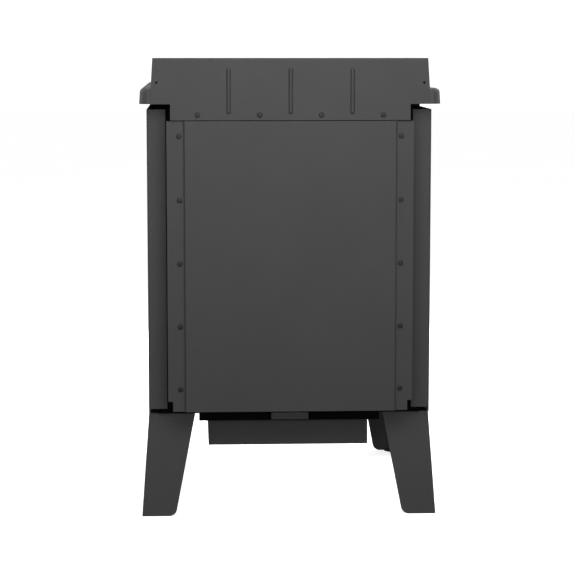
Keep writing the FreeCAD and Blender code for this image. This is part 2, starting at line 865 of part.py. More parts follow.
def make_bead(x):
    low = "guard_bottom + bead_bottom_margin + bead_radius"
    high = "guard_top - bead_top_margin - bead_radius"
    shaft = rod("bead_shaft", "bead_radius", f"{high} - ({low})", (x, "bead_axis", low), "z")
    ends = [ball("bead_end", "bead_radius", (x, "bead_axis", level)) for level in (low, high)]
    whole = fuse("bead_whole", [shaft] + ends)
    behind = box("bead_side", (f"{x} - bead_radius", "cooktop_back", "guard_bottom"),
                 (f"{x} + bead_radius", "guard_back + bead_radius", "guard_top"))
    bead = doc.addObject("Part::Common", "bead")
    bead.Base = whole
    bead.Tool = behind
    return bead


def make_guard():
    low = "guard_low_width / 2"
    wide = "guard_width / 2"
    top = "guard_top_width / 2"
    margin = "guard_sheet"
    body = start_body("guard_sheet_body", (f"0 - {wide}", "0", "0"))
    under_fold = "guard_top - guard_sheet"
    fold_end = "cooktop_back - guard_fold"
    sketch = new_sketch(body, "YZ_Plane")
    add_polygon(sketch, [("cooktop_back", "guard_bottom"), ("guard_back", "guard_bottom"),
                         ("guard_back", "guard_top"), (fold_end, "guard_top"), (fold_end, under_fold),
                         ("cooktop_back", under_fold)])
    sheet = pad(body, sketch, "guard_width")
    bend = fillet(body, sheet, [{"y": "guard_back", "z": "guard_top"}], "guard_fold_bend")
    fillet(body, bend, [{"y": "cooktop_back", "z": under_fold}], "guard_fold_bend - guard_sheet")
    trim = new_sketch(body, "XZ_Plane", "0 - guard_back")
    above = f"guard_top + {margin}"
    below = f"guard_bottom - {margin}"
    beyond = f"({wide} + {margin})"
    waste = [(low, below), (beyond, below), (beyond, above), (top, above), (top, "guard_top"),
             (wide, "skirt_bottom"), (low, "skirt_bottom")]
    for side in (-1, 1):
        add_polygon(trim, [(f"{wide} + {side} * {x}", z) for x, z in waste])
    pocket(body, trim, "guard_sheet + guard_fold", backwards=True)
    beads = [make_bead(f"{step} * guard_pitch") for step in (-1, 0, 1)]
    holes = [screw_hole("guard_screw_hole", spot, "guard_back") for spot in guard_screw_spots()]
    for side in (-1, 1):
        start = (f"{side} * ({wide} - guard_hole_edge)", "cooktop_back", "guard_top - guard_hole_drop")
        holes.append(rod("guard_side_hole", "guard_hole_radius", "guard_sheet", start, "y"))
    finish("backguard", cut("backguard", fuse("guard_blank", [body] + beads), holes))

    bracket = start_body("bracket_body", ("0 - guard_low_width / 2 + bracket_end_inset", "0", "0"))
    web = "cooktop_back - bracket_sheet"
    low = "guard_bottom + bracket_sheet"
    high = f"{low} + bracket_height"
    sketch = new_sketch(bracket, "YZ_Plane")
    low_inner = f"{low} + bracket_sheet"
    high_inner = f"{high} - bracket_sheet"
    add_polygon(sketch, [("shell_back", low), ("cooktop_back", low), ("cooktop_back", high),
                         ("shell_back", high), ("shell_back", high_inner), (web, high_inner),
                         (web, low_inner), ("shell_back", low_inner)])
    pad(bracket, sketch, "guard_low_width - 2 * bracket_end_inset")
    holes = [screw_hole("bracket_hole", spot, "guard_back") for spot in guard_screw_spots()]
    finish("guard_bracket", cut("guard_bracket", bracket, holes))
    screws = [screw("guard_screw", (x, "guard_back", z)) for x, z in guard_screw_spots()]
    finish("guard_screws", group("guard_screws", screws))


# Cooktop, lids and flue collar

EYES = (-0.5, 0.5)


def make_cooktop():
    body = start_body("cooktop", ("0", "0", "skirt_bottom"))
    sketch = new_sketch(body, "XY_Plane")
    add_rectangle(sketch, ("0 - cooktop_width / 2", "cooktop_front"), ("cooktop_width / 2", "cooktop_back"))
    block = pad(body, sketch, "cooktop_skirt")
    bind(block, "TaperAngle", "0 - skirt_draft")
    doc.recompute()
    corners = [f"Edge{number}" for number, edge in enumerate(block.Shape.Edges, 1)
               if edge.BoundBox.ZLength > value("cooktop_skirt") / 2]
    rounded = body.newObject("PartDesign::Fillet", "cooktop_corners")
    rounded.Base = (block, corners)
    bind(rounded, "Radius", "cooktop_corner")
    fillet(body, rounded, [{"z": "cooktop_skirt"}], "cooktop_edge")
    hollow = new_sketch(body, "XY_Plane")
    add_rectangle(hollow, ("0 - cooktop_width / 2 + skirt_wall", "cooktop_front + skirt_wall"),
                  ("cooktop_width / 2 - skirt_wall", "cooktop_back - skirt_wall"))
    pocket(body, hollow, "cooktop_skirt - cooktop_plate", backwards=True)
    ledges = new_sketch(body, "XY_Plane", "cooktop_skirt")
    for step in EYES:
        add_circle(ledges, (f"{step} * eye_spacing", "eye_y"), "eye_radius")
    pocket(body, ledges, "eye_ledge_depth")
    holes = new_sketch(body, "XY_Plane", "cooktop_skirt")
    for step in EYES:
        add_circle(holes, (f"{step} * eye_spacing", "eye_y"), "eye_radius - eye_ledge_width")
    add_circle(holes, ("0", "flue_y"), "flue_radius + flue_hole_gap")
    pocket(body, holes, "cooktop_plate")
    boss = new_sketch(body, "XY_Plane", "cooktop_skirt")
    add_circle(boss, ("0", "flue_y"), "flue_radius + flue_hole_gap")
    add_circle(boss, ("0", "flue_y"), "flue_radius + collar_wall + collar_flange + flue_boss_edge")
    pad(body, boss, "flue_boss")
    finish("cooktop", body)

    collar = turned_piece("flue_collar", ("0", "flue_y", "cooktop_height + flue_boss"), [
        ("flue_radius", "0"), ("flue_radius + collar_wall + collar_flange", "0"),
        ("flue_radius + collar_wall + collar_flange", "collar_flange_thickness"),
        ("flue_radius + collar_wall", "collar_flange_thickness"),
        ("flue_radius + collar_wall", "collar_height"), ("flue_radius", "collar_height")])
    finish("flue_collar", collar)


def lifter_slot(name, x, radius):
    far = f"eye_y + {radius} - lifter_edge"
    return box(name, (f"{x} - lifter_width / 2", f"{far} - lifter_length", "cooktop_height - lifter_depth"),
               (f"{x} + lifter_width / 2", far, "cooktop_height"))


def make_lids():
    left = f"{EYES[0]} * eye_spacing"
    right = f"{EYES[1]} * eye_spacing"
    under = "0 - cooktop_plate + lid_underside_gap"
    seat = "0 - eye_ledge_depth"
    rim = "eye_radius - lid_gap"
    boss = "eye_radius - eye_ledge_width - lid_gap"
    small_rim = "small_lid_radius - lid_gap"
    small_boss = "small_lid_radius - eye_ledge_width - lid_gap"
    small_hole = "small_lid_radius - eye_ledge_width"
    large = turned_piece("large_lid_disc", (right, "eye_y", "cooktop_height"), [
        ("0", under), (boss, under), (boss, seat), (rim, seat), (rim, "0"), ("0", "0")])
    finish("hob_lid_large", cut("hob_lid_large", large, [lifter_slot("large_lifter", right, "eye_radius")]))
    ring = turned_piece("hob_ring", (left, "eye_y", "cooktop_height"), [
        (small_hole, under), (boss, under), (boss, seat), (rim, seat), (rim, "0"), ("small_lid_radius", "0"),
        ("small_lid_radius", seat), (small_hole, seat)])
    finish("hob_ring", ring)
    small = turned_piece("small_lid_disc", (left, "eye_y", "cooktop_height"), [
        ("0", under), (small_boss, under), (small_boss, seat), (small_rim, seat), (small_rim, "0"),
        ("0", "0")])
    slot = lifter_slot("small_lifter", left, "small_lid_radius")
    finish("hob_lid_small", cut("hob_lid_small", small, [slot]))


# Firebox

def brick_row(name, low, high, axis, count):
    length = f"(({high[axis]}) - ({low[axis]})) / {count}"
    bricks = []
    for index in range(count):
        start = list(low)
        end = list(high)
        start[axis] = f"({low[axis]}) + {index} * {length} + brick_joint / 2"
        end[axis] = f"({low[axis]}) + {index + 1} * {length} - brick_joint / 2"
        bricks.append(box(name, start, end))
    return bricks


def make_bricks():
    half = "shell_inside / 2"
    grate = "(grate_width / 2 + brick_joint)"
    grate_front = "(grate_middle - grate_depth / 2 - brick_joint)"
    grate_back = "(grate_middle + grate_depth / 2 + brick_joint)"
    floor = brick_row("floor_brick", (f"0 - {half}", "inside_front", "base_top"),
                      (f"0 - {grate}", "inside_back", "brick_top"), 1, 3)
    floor += brick_row("floor_brick", (grate, "inside_front", "base_top"),
                       (half, "inside_back", "brick_top"), 1, 3)
    floor += brick_row("floor_brick", (f"0 - {grate}", "inside_front + air_hole_radius", "base_top"),
                       (grate, grate_front, "brick_top"), 0, 2)
    floor += brick_row("floor_brick", (f"0 - {grate}", grate_back, "base_top"),
                       (grate, "inside_back", "brick_top"), 0, 2)
    finish("floor_bricks", group("floor_bricks", floor))

    top = "tube_height - tube_radius - tube_brick_gap"
    lining = f"({half} - brick_wall)"
    rear_face = "inside_back - brick_wall"
    walls = brick_row("wall_brick", (f"0 - {half}", "inside_front", "brick_top"),
                      (f"0 - {lining}", "inside_back", top), 1, 3)
    walls += brick_row("wall_brick", (lining, "inside_front", "brick_top"), (half, "inside_back", top), 1, 3)
    walls += brick_row("wall_brick", (f"0 - {lining}", rear_face, "brick_top"),
                       (lining, "inside_back", top), 0, 3)
    finish("wall_bricks", group("wall_bricks", walls))


def make_grate():
    blank = box("grate_blank", ("0 - grate_width / 2", "grate_middle - grate_depth / 2", "base_top"),
                ("grate_width / 2", "grate_middle + grate_depth / 2", "base_top + grate_height"))
    count = SIZES["grate_slots"]
    pitch = f"((grate_width - 2 * grate_rim + grate_bar) / {count})"
    slots = []
    for index in range(count):
        left = f"grate_rim - grate_width / 2 + {index} * {pitch}"
        slots.append(box("grate_slot", (left, "grate_middle - grate_depth / 2 + grate_rim", "base_top"),
                         (f"{left} + {pitch} - grate_bar", "grate_middle + grate_depth / 2 - grate_rim",
                          "base_top + grate_height")))
    finish("grate", cut("grate", blank, slots))


def make_baffle():
    tubes = []
    for step in (-1, 0, 1):
        tube_y = f"grate_middle + tube_pitch / 2 + {step} * tube_pitch"
        start = ("0 - shell_inside / 2", tube_y, "tube_height")
        outside = rod("tube_outside", "tube_radius", "shell_inside", start, "x")
        bore = rod("tube_bore", "tube_radius - tube_wall", "shell_inside", start, "x")
        tubes.append(cut("air_tube", outside, [bore]))
    finish("secondary_air_tubes", group("secondary_air_tubes", tubes))
    half = "(shell_inside / 2 - baffle_side_gap)"
    boards = brick_row("baffle_board", (f"0 - {half}", "inside_front + baffle_front_gap", "baffle_bottom"),
                       (half, "inside_back", "baffle_bottom + baffle_board"), 0, 2)
    finish("baffle", group("baffle", boards))


# Oven

RACK_LEVELS = (1, 2)
RACK_LEVEL = 1


def rack_rail_top(level):
    return f"oven_open_bottom + {level} * rack_rail_pitch"


def make_oven():
    half = "door_open_width / 2"
    outside = box("liner_outside",
                  (f"0 - {half} - liner_sheet", "inside_front", "oven_open_bottom - liner_sheet"),
                  (f"{half} + liner_sheet", "oven_back", "oven_open_top + liner_sheet"))
    inside = box("liner_inside", (f"0 - {half}", "inside_front", "oven_open_bottom"),
                 (half, "oven_back - liner_sheet", "oven_open_top"))
    shell = cut("liner_shell", outside, [inside])
    rails = []
    for level in RACK_LEVELS:
        top = rack_rail_top(level)
        for low, high in ((f"0 - {half}", f"rack_rail - {half}"), (f"{half} - rack_rail", half)):
            start = (low, "inside_front + rack_rail_end_gap", f"{top} - rack_rail_height")
            end = (high, "oven_back - liner_sheet - rack_rail_end_gap", top)
            rails.append(box("rack_rail", start, end))
    finish("oven_liner", fuse("oven_liner", [shell] + rails))

    frame_height = f"{rack_rail_top(RACK_LEVEL)} + rack_frame_wire"
    side = f"({half} - rack_gap - rack_frame_wire)"
    front_end = "inside_front + rack_rail_end_gap + rack_frame_wire"
    back_end = "oven_back - liner_sheet - rack_rail_end_gap - rack_frame_wire"
    depth = f"({back_end} - ({front_end}))"
    sides = []
    for sign in (-1, 1):
        x = f"{sign} * {side}"
        tips = [ball("rack_corner", "rack_frame_wire", (x, end, frame_height))
                for end in (front_end, back_end)]
        wire = rod("rack_side_wire", "rack_frame_wire", depth, (x, front_end, frame_height), "y")
        sides.append(fuse("rack_side", [wire] + tips))
    ends = []
    for end in (front_end, back_end):
        start = (f"0 - {side}", end, frame_height)
        wire = rod("rack_end_wire", "rack_frame_wire", f"2 * {side}", start, "x")
        ends.append(cut("rack_end", wire, sides))
    bars = []
    count = SIZES["rack_wires"]
    for index in range(1, count + 1):
        x = f"0 - {side} + {index} * 2 * {side} / {count + 1}"
        wire = rod("rack_wire", "rack_wire", depth, (x, front_end, frame_height), "y")
        bars.append(cut("rack_bar", wire, ends))
    finish("oven_rack", group("oven_rack", sides + ends + bars))


# Doors

def door_edges(middle, open_height):
    half = f"({open_height} / 2 + door_overlap)"
    return f"{middle} - {half}", f"{middle} + {half}"


def knuckle_bottoms(bottom, top):
    return (f"{bottom} + knuckle_inset", f"{top} - knuckle_inset - knuckle_length")


def door_slab(name, middle, open_height):
    bottom, top = door_edges(middle, open_height)
    half = "door_width / 2"
    body = start_body(name)
    sketch = new_sketch(body, "XZ_Plane", "0 - door_back")
    add_rectangle(sketch, (f"0 - {half}", bottom), (half, top))
    add_circle(sketch, ("latch_x", middle), "shaft_radius + shaft_play")
    slab = pad(body, sketch, "door_thickness")
    corner_edges = [{"x": x, "z": z} for x in (half, f"0 - {half}") for z in (bottom, top)]
    corners = fillet(body, slab, corner_edges, "door_corner")
    fillet(body, corners, [{"y": "door_face", "x": half}], "door_edge")
    groove = new_sketch(body, "XZ_Plane", "0 - door_back")
    for inset in ("rope_outset", "rope_outset - rope_width"):
        x = f"door_open_width / 2 + {inset}"
        z = f"({open_height} / 2 + {inset})"
        add_rectangle(groove, (f"0 - ({x})", f"{middle} - {z}"), (x, f"{middle} + {z}"))
    pocket(body, groove, "rope_groove", backwards=True)
    return body


def add_knuckles(label, slab, middle, open_height):
    ears = []
    bores = []
    for bottom in knuckle_bottoms(*door_edges(middle, open_height)):
        start = ("hinge_x", "hinge_y", bottom)
        ears.append(rod("knuckle", "knuckle_radius", "knuckle_length", start, "z"))
        ears.append(box("ear", ("hinge_x", "hinge_y - ear_thickness / 2", bottom),
                        ("hinge_x + hinge_offset + door_edge", "hinge_y + ear_thickness / 2",
                         f"{bottom} + knuckle_length")))
        bores.append(rod("knuckle_bore", "pin_radius + pin_play", "knuckle_length", start, "z"))
    return finish(label, cut(label, fuse(label + "_blank", [slab] + ears), bores))


def make_rope(label, middle, open_height):
    frames = []
    for inset in ("rope_outset", "rope_outset - rope_width"):
        x = f"door_open_width / 2 + {inset}"
        z = f"({open_height} / 2 + {inset})"
        frames.append(box(label + "_edge", (f"0 - ({x})", "door_back - rope_groove", f"{middle} - {z}"),
                          (x, "front - rope_gap", f"{middle} + {z}")))
    finish(label, cut(label, frames[0], [frames[1]]))


def make_latch(prefix, middle):
    shaft = rod(prefix + "_shaft", "shaft_radius", "door_back - rope_groove - shaft_end_gap - grip_y",
                ("latch_x", "grip_y", middle), "y")
    tongue = box(prefix + "_tongue",
                 ("latch_x - tongue_width / 2", "tongue_face", f"{middle} - tongue_length"),
                 ("latch_x + tongue_width / 2", "tongue_back", f"{middle} + tongue_width / 2"))
    arm = box(prefix + "_arm",
              ("latch_x - arm_width / 2", "grip_y - arm_thickness / 2", f"{middle} - arm_length"),
              ("latch_x + arm_width / 2", "grip_y + arm_thickness / 2", f"{middle} + arm_width / 2"))
    finish(prefix + "_latch", fuse(prefix + "_latch", [shaft, tongue, arm]))
    top = f"{middle} - arm_length"
    grip = turned_piece(prefix + "_grip", ("latch_x", "grip_y", f"{top} - grip_length"), [
        ("0", "0"), ("grip_neck", "0"), ("grip_radius", "grip_length / 4"),
        ("grip_radius", "grip_length / 2"), ("grip_neck", "grip_length"), ("0", "grip_length")])
    finish(prefix + "_grip", grip)


def make_firebox_door():
    middle = "fire_door_middle"
    slab = door_slab("firebox_door_slab", middle, "fire_open_height")
    window = new_sketch(slab, "XZ_Plane", "0 - door_back")
    add_rectangle(window, ("0 - window_width / 2", f"{middle} - window_height / 2"),
                  ("window_width / 2", f"{middle} + window_height / 2"))
    pocket(slab, window, "door_thickness", backwards=True)
    rebate = new_sketch(slab, "XZ_Plane", "0 - door_back")
    rebate_x = "window_width / 2 + glass_lap + glass_play"
    rebate_z = "window_height / 2 + glass_lap + glass_play"
    add_rectangle(rebate, (f"0 - ({rebate_x})", f"{middle} - ({rebate_z})"),
                  (rebate_x, f"{middle} + {rebate_z}"))
    pocket(slab, rebate, "window_rebate", backwards=True)
    add_knuckles("firebox_door", slab, middle, "fire_open_height")
    make_rope("firebox_rope", middle, "fire_open_height")
    make_latch("firebox", middle)

    glass_x = "window_width / 2 + glass_lap"
    glass_z = "(window_height / 2 + glass_lap)"
    pane = box("firebox_glass", (f"0 - ({glass_x})", "glass_front", f"{middle} - {glass_z}"),
               (glass_x, "glass_front + glass_thickness", f"{middle} + {glass_z}"))
    finish("firebox_glass", pane)
    seal = box("seal_blank", (f"0 - ({glass_x})", "glass_front - glass_gasket", f"{middle} - {glass_z}"),
               (glass_x, "glass_front", f"{middle} + {glass_z}"))
    hole = box("seal_hole",
               ("0 - window_width / 2", "glass_front - glass_gasket", f"{middle} - window_height / 2"),
               ("window_width / 2", "glass_front", f"{middle} + window_height / 2"))
    finish("glass_gasket", cut("glass_gasket", seal, [hole]))
    clips = []
    for side in (-1, 1):
        for level in (-1, 1):
            x = f"{side} * window_width / 4"
            z = f"{middle} + {level} * ({rebate_z} - clip_width / 2)"
            clips.append(box("glass_clip", (f"{x} - clip_length / 2", "glass_front + glass_thickness",
                                            f"{z} - clip_width / 2"),
                             (f"{x} + clip_length / 2", "glass_front + glass_thickness + clip_thickness",
                              f"{z} + clip_width / 2")))
    finish("glass_clips", group("glass_clips", clips))


def make_oven_door():
    middle = "oven_door_middle"
    slab = door_slab("oven_door_slab", middle, "oven_open_height")
    panel = new_sketch(slab, "XZ_Plane", "0 - door_face")
    panel_x = "door_width / 2 - oven_panel_margin"
    panel_z = "oven_open_height / 2 + door_overlap - oven_panel_margin"
    add_rectangle(panel, (f"0 - ({panel_x})", f"{middle} - ({panel_z})"), (panel_x, f"{middle} + {panel_z}"))
    pocket(slab, panel, "oven_panel_depth")
    seat = new_sketch(slab, "XZ_Plane", "0 - dial_seat")
    add_circle(seat, ("0", middle), "dial_radius + dial_seat_gap")
    pocket(slab, seat, "dial_depth - dial_proud")
    add_knuckles("oven_door", slab, middle, "oven_open_height")
    make_rope("oven_rope", middle, "oven_open_height")
    make_latch("oven", middle)
    dial = rod("oven_thermometer", "dial_radius", "dial_depth", ("0", "dial_seat - dial_proud", middle), "y")
    finish("oven_thermometer", dial)


def make_hinges():
    brackets = []
    pins = []
    keepers = []
    doors = (("fire_door_middle", "fire_open_height"), ("oven_door_middle", "oven_open_height"))
    for middle, open_height in doors:
        for bottom in knuckle_bottoms(*door_edges(middle, open_height)):
            low = f"{bottom} - lug_gap - lug_height"
            high = f"{bottom} - lug_gap"
            base = box("lug_base", ("hinge_x - knuckle_radius", "hinge_y", low),
                       ("hinge_x + knuckle_radius", "front", high))
            nose = rod("lug_nose", "knuckle_radius", "lug_height", ("hinge_x", "hinge_y", low), "z")
            bore = rod("lug_bore", "pin_radius", "lug_height", ("hinge_x", "hinge_y", low), "z")
            brackets.append(cut("hinge_bracket", fuse("lug", [base, nose]), [bore]))
            length = "lug_height + lug_gap + knuckle_length + pin_stand"
            pins.append(rod("hinge_pin", "pin_radius", length, ("hinge_x", "hinge_y", low), "z"))
        near = "door_width / 2 + keeper_side_gap"
        far = "latch_x + tongue_length + keeper_side_gap"
        low = f"{middle} - keeper_height / 2"
        high = f"{middle} + keeper_height / 2"
        face = "keeper_lip - keeper_thickness"
        post = box("keeper_post", (far, face, low), (f"{far} + keeper_base", "front", high))
        lip = box("keeper_lip", (near, face, low), (f"{far} + keeper_base", "keeper_lip", high))
        keepers.append(fuse("keeper", [post, lip]))
    finish("hinge_brackets", group("hinge_brackets", brackets))
    finish("hinge_pins", group("hinge_pins", pins))
    finish("latch_keepers", group("latch_keepers", keepers))


# Ash box

def make_ash_box():
    half = "chamber_width / 2"
    sheet = "chamber_sheet"
    blank = box("chamber_blank", (f"0 - {half}", "chamber_front", "chamber_bottom"),
                (half, "chamber_back", "leg_height"))
    hollow = box("chamber_hollow",
                 (f"{sheet} - {half}", f"chamber_front + {sheet}", f"chamber_bottom + {sheet}"),
                 (f"{half} - {sheet}", f"chamber_back - {sheet}", "leg_height"))
    hole = ash_hole("chamber_hole", "chamber_bottom", f"chamber_bottom + {sheet}")
    finish("air_chamber", cut("air_chamber", blank, [hollow, hole]))
    cover = box("air_inlet_cover",
                ("0 - inlet_width / 2", "chamber_back", "base_top - inlet_drop - inlet_height"),
                ("inlet_width / 2", "chamber_back + inlet_depth", "base_top - inlet_drop"))
    finish("air_inlet_cover", cover)

    half = "ash_width / 2"
    sheet = "ash_sheet"
    blank = box("housing_blank", (f"0 - {half}", "ash_front", "ash_bottom"),
                (half, "ash_back", "chamber_bottom"))
    hollow = box("housing_hollow", (f"{sheet} - {half}", "ash_front", f"ash_bottom + {sheet}"),
                 (f"{half} - {sheet}", f"ash_back - {sheet}", f"chamber_bottom - {sheet}"))
    hole = ash_hole("housing_hole", f"chamber_bottom - {sheet}", "chamber_bottom")
    finish("ash_housing", cut("ash_housing", blank, [hollow, hole]))


def make_ash_drawer():
    half = "drawer_width / 2"
    low = "ash_bottom + ash_sheet + drawer_lift"
    high = "chamber_bottom - ash_sheet - drawer_play"
    back = "ash_back - drawer_rear_gap"
    pan = box("drawer_pan", (f"0 - {half}", "drawer_panel_back", low), (half, back, high))
    panel_half = "ash_width / 2 + drawer_front_lap"
    panel = box("drawer_panel", (f"0 - ({panel_half})", "drawer_panel_face", "ash_bottom - drawer_front_lap"),
                (panel_half, "drawer_panel_back", "chamber_bottom + drawer_front_rise"))
    hollow = box("drawer_hollow",
                 (f"drawer_sheet - {half}", "drawer_panel_back + drawer_sheet", f"{low} + drawer_sheet"),
                 (f"{half} - drawer_sheet", f"{back} - drawer_sheet", high))
    finish("ash_drawer", cut("ash_drawer", fuse("drawer_blank", [pan, panel]), [hollow]))
    level = "(ash_bottom + chamber_bottom + drawer_front_rise) / 2 + pull_up"
    bar_y = "drawer_panel_face - pull_reach"
    posts = [rod("pull_post", "pull_radius", "pull_reach", (f"{side} * pull_span / 2", bar_y, level), "y")
             for side in (-1, 1)]
    ends = [ball("pull_end", "pull_radius", (f"{side} * pull_span / 2", bar_y, level)) for side in (-1, 1)]
    bar = rod("pull_bar", "pull_radius", "pull_span", ("0 - pull_span / 2", bar_y, level), "x")
    finish("ash_handle", fuse("ash_handle", [bar] + posts + ends))


# Air controls

def knob_outline():
    return [("0", "0"), ("knob_neck", "0"), ("knob_neck", "knob_stem"),
            ("knob_radius", "knob_stem + knob_neck / 2"),
            ("knob_radius", "knob_stem + knob_length - knob_neck / 2"),
            ("knob_radius - knob_neck / 2", "knob_stem + knob_length"), ("0", "knob_stem + knob_length")]


def front_knob(label, centre):
    body = turned_piece(label, centre, knob_outline())
    body.Placement.Rotation = Rotation(Vector(0, 0, 1), Vector(0, -1, 0))
    return body


def make_air_slider():
    half = "slider_width / 2"
    back = "front - slider_gap"
    face = "front - slider_gap - slider_thickness"
    low = "slider_middle - slider_height / 2"
    high = "slider_middle + slider_height / 2"
    plate = box("slider_plate", (f"0 - {half}", face, low), (half, back, high))
    holes = []
    for step in AIR_HOLES:
        start = (f"{step} * air_hole_pitch - slider_travel", face, "slider_middle")
        holes.append(rod("slider_hole", "air_hole_radius", "slider_thickness", start, "y"))
    finish("air_slider", cut("air_slider", plate, holes))
    finish("air_knob", front_knob("air_knob", (f"{half} - slider_knob_edge", face, "slider_middle")))
    guides = []
    end = f"({half} + guide_overrun)"
    outer_face = f"{face} - slider_gap"
    bottom = f"{low} - slider_gap - guide_height"
    top = f"{high} + slider_gap + guide_height"
    strips = ((bottom, f"{low} - slider_gap"), (f"{high} + slider_gap", top))
    lips = ((bottom, f"{low} + guide_lip"), (f"{high} - guide_lip", top))
    for (strip_low, strip_high), (lip_low, lip_high) in zip(strips, lips):
        strip = box("guide_strip", (f"0 - {end}", outer_face, strip_low), (end, "front", strip_high))
        lip = box("guide_lip", (f"0 - {end}", f"{outer_face} - guide_lip_thickness", lip_low),
                  (end, outer_face, lip_high))
        guides.append(fuse("guide", [strip, lip]))
    finish("air_guides", group("air_guides", guides))


def make_bypass():
    half = "(shell_inside / 2 - damper_side_gap)"
    plate = box("damper_sheet", (f"0 - {half}", "oven_back - damper_lap", "damper_bottom"),
                (half, "inside_back - damper_side_gap", "damper_bottom + damper_plate"))
    tab = box("damper_tab", ("0 - tab_width / 2", "oven_back - damper_lap", "damper_bottom + damper_plate"),
              ("tab_width / 2", "oven_back - damper_lap + tab_thickness", "rod_height + tab_width / 2"))
    finish("bypass_damper", fuse("bypass_damper", [plate, tab]))
    tip = "front - rod_stand"
    length = f"oven_back - damper_lap - ({tip})"
    finish("bypass_rod", rod("bypass_rod", "rod_radius", length, ("0", tip, "rod_height"), "y"))
    finish("bypass_knob", front_knob("bypass_knob", ("0", tip, "rod_height")))


def check_and_write():
    doc.recompute()
    for obj in doc.Objects:
        if "Invalid" in obj.State or "Error" in obj.State:
            raise RuntimeError(f"{obj.Label} did not recompute: {obj.State}")
    for obj in pieces:
        if obj.Shape.isNull() or not obj.Shape.isValid() or not obj.Shape.Solids:
            raise RuntimeError(f"{obj.Label} has no valid solid")
    os.makedirs("parts", exist_ok=True)
    for obj in pieces:
        obj.Shape.exportStep(f"parts/{obj.Label}.step")
    print(f"{len(pieces)} pieces written")


make_stand()
make_shell()
make_casing()
make_shield()
make_guard()
make_cooktop()
make_lids()
make_bricks()
make_grate()
make_baffle()
make_oven()
make_firebox_door()
make_oven_door()
make_hinges()
make_ash_box()
make_ash_drawer()
make_air_slider()
make_bypass()
check_and_write()
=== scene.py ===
import bpy
import json
import math
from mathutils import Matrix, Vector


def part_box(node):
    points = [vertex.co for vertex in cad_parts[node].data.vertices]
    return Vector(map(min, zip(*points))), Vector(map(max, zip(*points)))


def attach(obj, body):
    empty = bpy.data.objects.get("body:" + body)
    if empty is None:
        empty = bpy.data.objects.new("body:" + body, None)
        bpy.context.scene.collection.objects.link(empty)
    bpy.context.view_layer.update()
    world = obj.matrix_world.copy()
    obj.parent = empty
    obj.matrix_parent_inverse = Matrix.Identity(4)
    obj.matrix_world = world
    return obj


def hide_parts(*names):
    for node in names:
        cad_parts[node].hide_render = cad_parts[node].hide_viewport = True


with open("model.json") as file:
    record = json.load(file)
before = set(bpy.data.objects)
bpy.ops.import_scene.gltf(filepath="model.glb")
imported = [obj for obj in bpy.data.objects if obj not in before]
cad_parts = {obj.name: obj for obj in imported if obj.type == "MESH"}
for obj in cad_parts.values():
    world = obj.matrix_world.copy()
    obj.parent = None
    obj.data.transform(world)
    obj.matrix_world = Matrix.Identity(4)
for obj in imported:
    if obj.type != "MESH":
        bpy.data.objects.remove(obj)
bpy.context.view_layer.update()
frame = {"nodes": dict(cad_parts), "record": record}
mm = 0.001
hair = 0.01 * mm    # what lies closer than this is one place
facing = 0.9    # a face whose normal has this much of an axis looks that way
cadNodes = frame["nodes"]
record = frame["record"]
bodyOf = {node: body for body, members in record["behaviour"]["bodies"].items() for node in members}
slotOf = {row["node"]: row["material_slot"] for row in record["subparts"]}
mounts = {mount["name"]: mount for mount in record["mounts"]}
print("frame loaded:", len(cadNodes), "nodes")


# hand tools

def take(piece):
    if bpy.context.object and bpy.context.object.mode != "OBJECT":
        bpy.ops.object.mode_set(mode="OBJECT")
    bpy.ops.object.select_all(action="DESELECT")
    piece.select_set(True)
    bpy.context.view_layer.objects.active = piece


# selects the wanted faces, edges or points of the piece in hand and stays in edit mode
def pick(piece, kind, wanted):
    bpy.ops.object.mode_set(mode="EDIT")
    bpy.ops.mesh.select_mode(type=kind)
    bpy.ops.mesh.select_all(action="DESELECT")
    bpy.ops.object.mode_set(mode="OBJECT")
    parts = {"FACE": piece.data.polygons, "EDGE": piece.data.edges, "VERT": piece.data.vertices}
    for part in parts[kind]:
        part.select = wanted(part)
    bpy.ops.object.mode_set(mode="EDIT")


def heightsOf(piece, edge):
    return [piece.data.vertices[end].co.z for end in edge.vertices]


def applyModifier(piece, kind, **settings):
    take(piece)
    modifier = piece.modifiers.new(kind.lower(), kind)
    for key, value in settings.items():
        setattr(modifier, key, value)
    bpy.ops.object.modifier_apply(modifier=modifier.name)


def smooth(piece, angle):
    take(piece)
    bpy.ops.object.shade_smooth_by_angle(angle=math.radians(angle))


def joinAll(pieces, name):
    take(pieces[0])
    for piece in pieces[1:]:
        piece.select_set(True)
    bpy.ops.object.join()
    bpy.ops.object.transform_apply(location=True, rotation=True, scale=True)
    pieces[0].name = name
    return pieces[0]


def copyTo(piece, place, turn=(0, 0, 0)):
    twin = piece.copy()
    twin.data = piece.data.copy()
    bpy.context.collection.objects.link(twin)
    twin.location = place
    twin.rotation_euler = turn
    return twin


def dress(piece, body, material, slot, *stoodFor):
    take(piece)
    bpy.ops.object.transform_apply(location=True, rotation=True, scale=True)
    piece.data.materials.clear()
    piece.data.materials.append(material)
    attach(piece, body)
    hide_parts(*stoodFor)


# where a CAD node that points to the front stands on its panel
def panelSpot(node):
    low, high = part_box(node)
    return (low.x + high.x) / 2, high.y, (low.z + high.z) / 2


towardsFront = (math.pi / 2, 0, 0)    # lays a piece turned along +Z over to -Y


